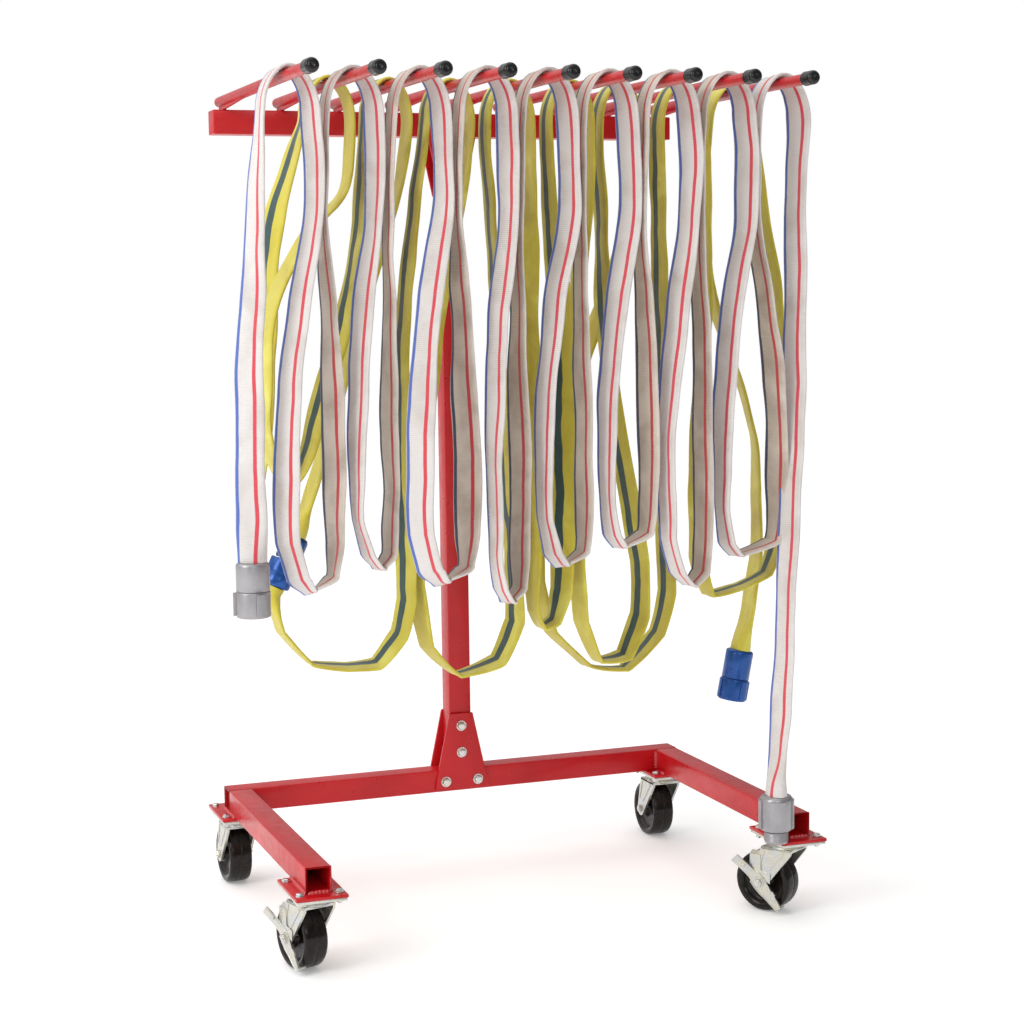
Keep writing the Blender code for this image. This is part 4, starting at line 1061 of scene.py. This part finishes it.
def make_lever(tag):
    """The pressed brake lever, with turned edges, a notch and a bent tab."""
    place = caster_frame(tag)
    along = Vector((0.0, 0.695, 0.719))
    across = Vector((0.0, -0.719, 0.695))
    outward = Vector((-1, 0, 0))
    mid = LEG_OUT + GAP + 0.0015
    centre = Vector((-mid, TRAIL, WHEEL_R))
    # distance along the lever, how far out it is bent, its half width to each side
    stations = mm(
        (-70, 0, 5.8, 6.2), (-65, 0, 7.2, 7.6), (-54, 0, 9.2, 9.8), (-44, 0, 10.4, 11.6),
        (-43, 0, 10.4, 14.2), (-33, 0, 11.6, 15), (-32, 0, 11.8, 12),
        (-18, 0, 15, 15), (0, 0, 16, 16.8), (14, 0, 15, 16), (15, 0, 11.8, 14.8),
        (22, 0.6, 10.8, 11.5), (27, 2.4, 10.2, 10.4), (42, 6.8, 10, 10), (58, 13, 10.4, 10.4),
        (68, 17.2, 10.8, 10.8), (69.5, 18, 9.6, 9.6),
    )
    path, section = [], []
    for k, (s, x, wa, wb) in enumerate(stations):
        a, b = stations[max(k - 1, 0)], stations[min(k + 1, len(stations) - 1)]
        run = (along * (b[0] - a[0]) + outward * (b[1] - a[1])).normalized()
        normal = across.cross(run).normalized()
        if normal.x > 0:
            normal = -normal
        lip = 0.0027 if s < 0.015 else 0.0018
        path.append(centre + along * s + outward * x)
        outline = [(-wa, -0.0012), (wb, -0.0012), (wb, lip), (wb - 0.0018, lip), (wb - 0.0026, 0.0012),
                   (0.0026 - wa, 0.0012), (0.0018 - wa, lip), (-wa, lip)]
        section.append([across * w + normal * h for w, h in outline])
    lever = Shape()
    lever.sweep(path, section, place)
    boss = mm((6.2, 0), (12.2, 0), (11.8, 1.8), (6.2, 1.8))
    lever.lathe(boss, axle_frame(tag, -mid - 0.0010), 32, True)
    for s, off, x in mm((-50, 3, 1.2), (47, 0, 9.9)):
        dimple = place @ facing(centre + along * s + across * off + outward * x, outward)
        lever.lathe(mm((0, 1.6), (2.2, 1.3), (3.6, 0.4), (4, -0.6), (0, -0.6)), dimple, 20)
    shoe = mm((-67.2, -5), (-67.2, 6), (-69.4, 6), (-69.4, -5))
    ends = [centre + along * s + across * w for s, w in shoe]
    lever.rings([p - outward * x for x in (0.0, 0.0160) for p in ends], 4, place)
    lever.piece("brake_pedal_" + tag, "zinc", "brake_" + tag, 0.0005, 40.0, node="brake_lever_" + tag)


def make_bracket(tag):
    """The brake's bracket behind the lever, bent over the top of the wheel."""
    place = caster_frame(tag)
    bracket = Shape()
    flat = mm((-27, 64), (22, 84), (21.5, 123), (-4.5, 123), (-5, 90.5), (-27, 85))
    bracket.prism([(TRAIL + y, z) for y, z in flat], -LEG_OUT - 0.0027, -LEG_OUT - 0.0004, place, "YZX")
    bend = mm((-2.7, 121.5), (8, 130), (9.2, 128.4), (-1.2, 120))
    bracket.prism([(x - LEG_OUT, z) for x, z in bend], TRAIL - 0.0045, TRAIL + 0.0215, place, "XZY")
    bracket.piece("brake_bracket_" + tag, "zinc", "caster_" + tag, 0.0006, 40.0)


def make_casters():
    for tag in CASTERS:
        make_race(tag)
        make_fork(tag)
        make_wheel(tag)
        make_axle(tag)
    for tag in BRAKED:
        make_lever(tag)
        make_bracket(tag)


# ---- floor and light ------
def make_stage():
    mesh = bpy.data.meshes.new("floor")
    w = FLOOR_HALF
    corners = [(-w, -w, FLOOR_Z), (w, -w, FLOOR_Z), (w, w, FLOOR_Z), (-w, w, FLOOR_Z)]
    mesh.from_pydata(corners, [], [(0, 1, 2, 3)])
    floor = bpy.data.objects.new("floor", mesh)
    bpy.context.scene.collection.objects.link(floor)
    f = Finish("pale_floor", Roughness=0.85, Emission_Color=(1.0, 1.0, 1.0, 1.0), Emission_Strength=0.22)
    mesh.materials.append(f.done(f.ramp(f.noise(2.0), (0.3, (0.93, 0.93, 0.93)), (0.7, (0.95, 0.95, 0.95)))))


def add_lamp(name, kind, power):
    lamp = bpy.data.objects.new(name, bpy.data.lights.new(name, kind))
    bpy.context.scene.collection.objects.link(lamp)
    lamp.data.energy = power
    return lamp


def add_area(name, place, target, size, power):
    lamp = add_lamp(name, "AREA", power)
    lamp.data.shape = "RECTANGLE"
    lamp.data.size, lamp.data.size_y = size
    lamp.location = place
    lamp.rotation_euler = (Vector(target) - Vector(place)).to_track_quat("-Z", "Y").to_euler()


def add_overhead():
    """A very soft, even light from above, which keeps the floor as pale as the backdrop."""
    lamp = add_lamp("overhead", "SUN", 0.8)
    lamp.data.angle = math.radians(70.0)
    lamp.rotation_euler = (math.radians(-8.0), math.radians(-14.0), 0.0)


def make_sky():
    """A white backdrop; the light it gives is strongest from above and from the left."""
    world = bpy.data.worlds.new("studio")
    bpy.context.scene.world = world
    world.use_nodes = True
    n = Nodes(world.node_tree)
    backdrop = n.tree.nodes["Background"]
    backdrop.inputs["Color"].default_value = (1.0, 1.0, 1.0, 1.0)
    way = n.node("TexCoord").outputs["Generated"]
    dot = n.node("VectorMath", {0: way, 1: SKY_TOWARD}, operation="DOT_PRODUCT").outputs["Value"]
    strength = n.spread(dot, SKY_LOW, SKY_HIGH, -0.10, 0.95)
    sky = n.node("Background", {"Strength": strength}).outputs["Background"]
    seen = n.node("LightPath").outputs["Is Camera Ray"]
    mix = n.node("MixShader", {"Fac": seen, 1: sky, 2: backdrop.outputs["Background"]})
    n.feed(n.tree.nodes["World Output"].inputs["Surface"], mix.outputs["Shader"])


def make_light():
    make_sky()
    add_area("key", (-4.2, -1.6, 3.0), (0.0, 0.0, 0.9), (1.8, 2.4), 82.0)
    add_area("front", (-1.0, -5.2, 2.6), (0.0, 0.0, 0.9), (2.0, 1.4), 34.0)
    add_overhead()
    bpy.context.scene.view_settings.view_transform = "Standard"


make_camera()
FINISH = make_finishes()
make_hoses()
dress_cad_nodes()
make_pegs()
make_bolts()
make_welds()
make_casters()
make_stage()
make_light()
bpy.context.view_layer.update()
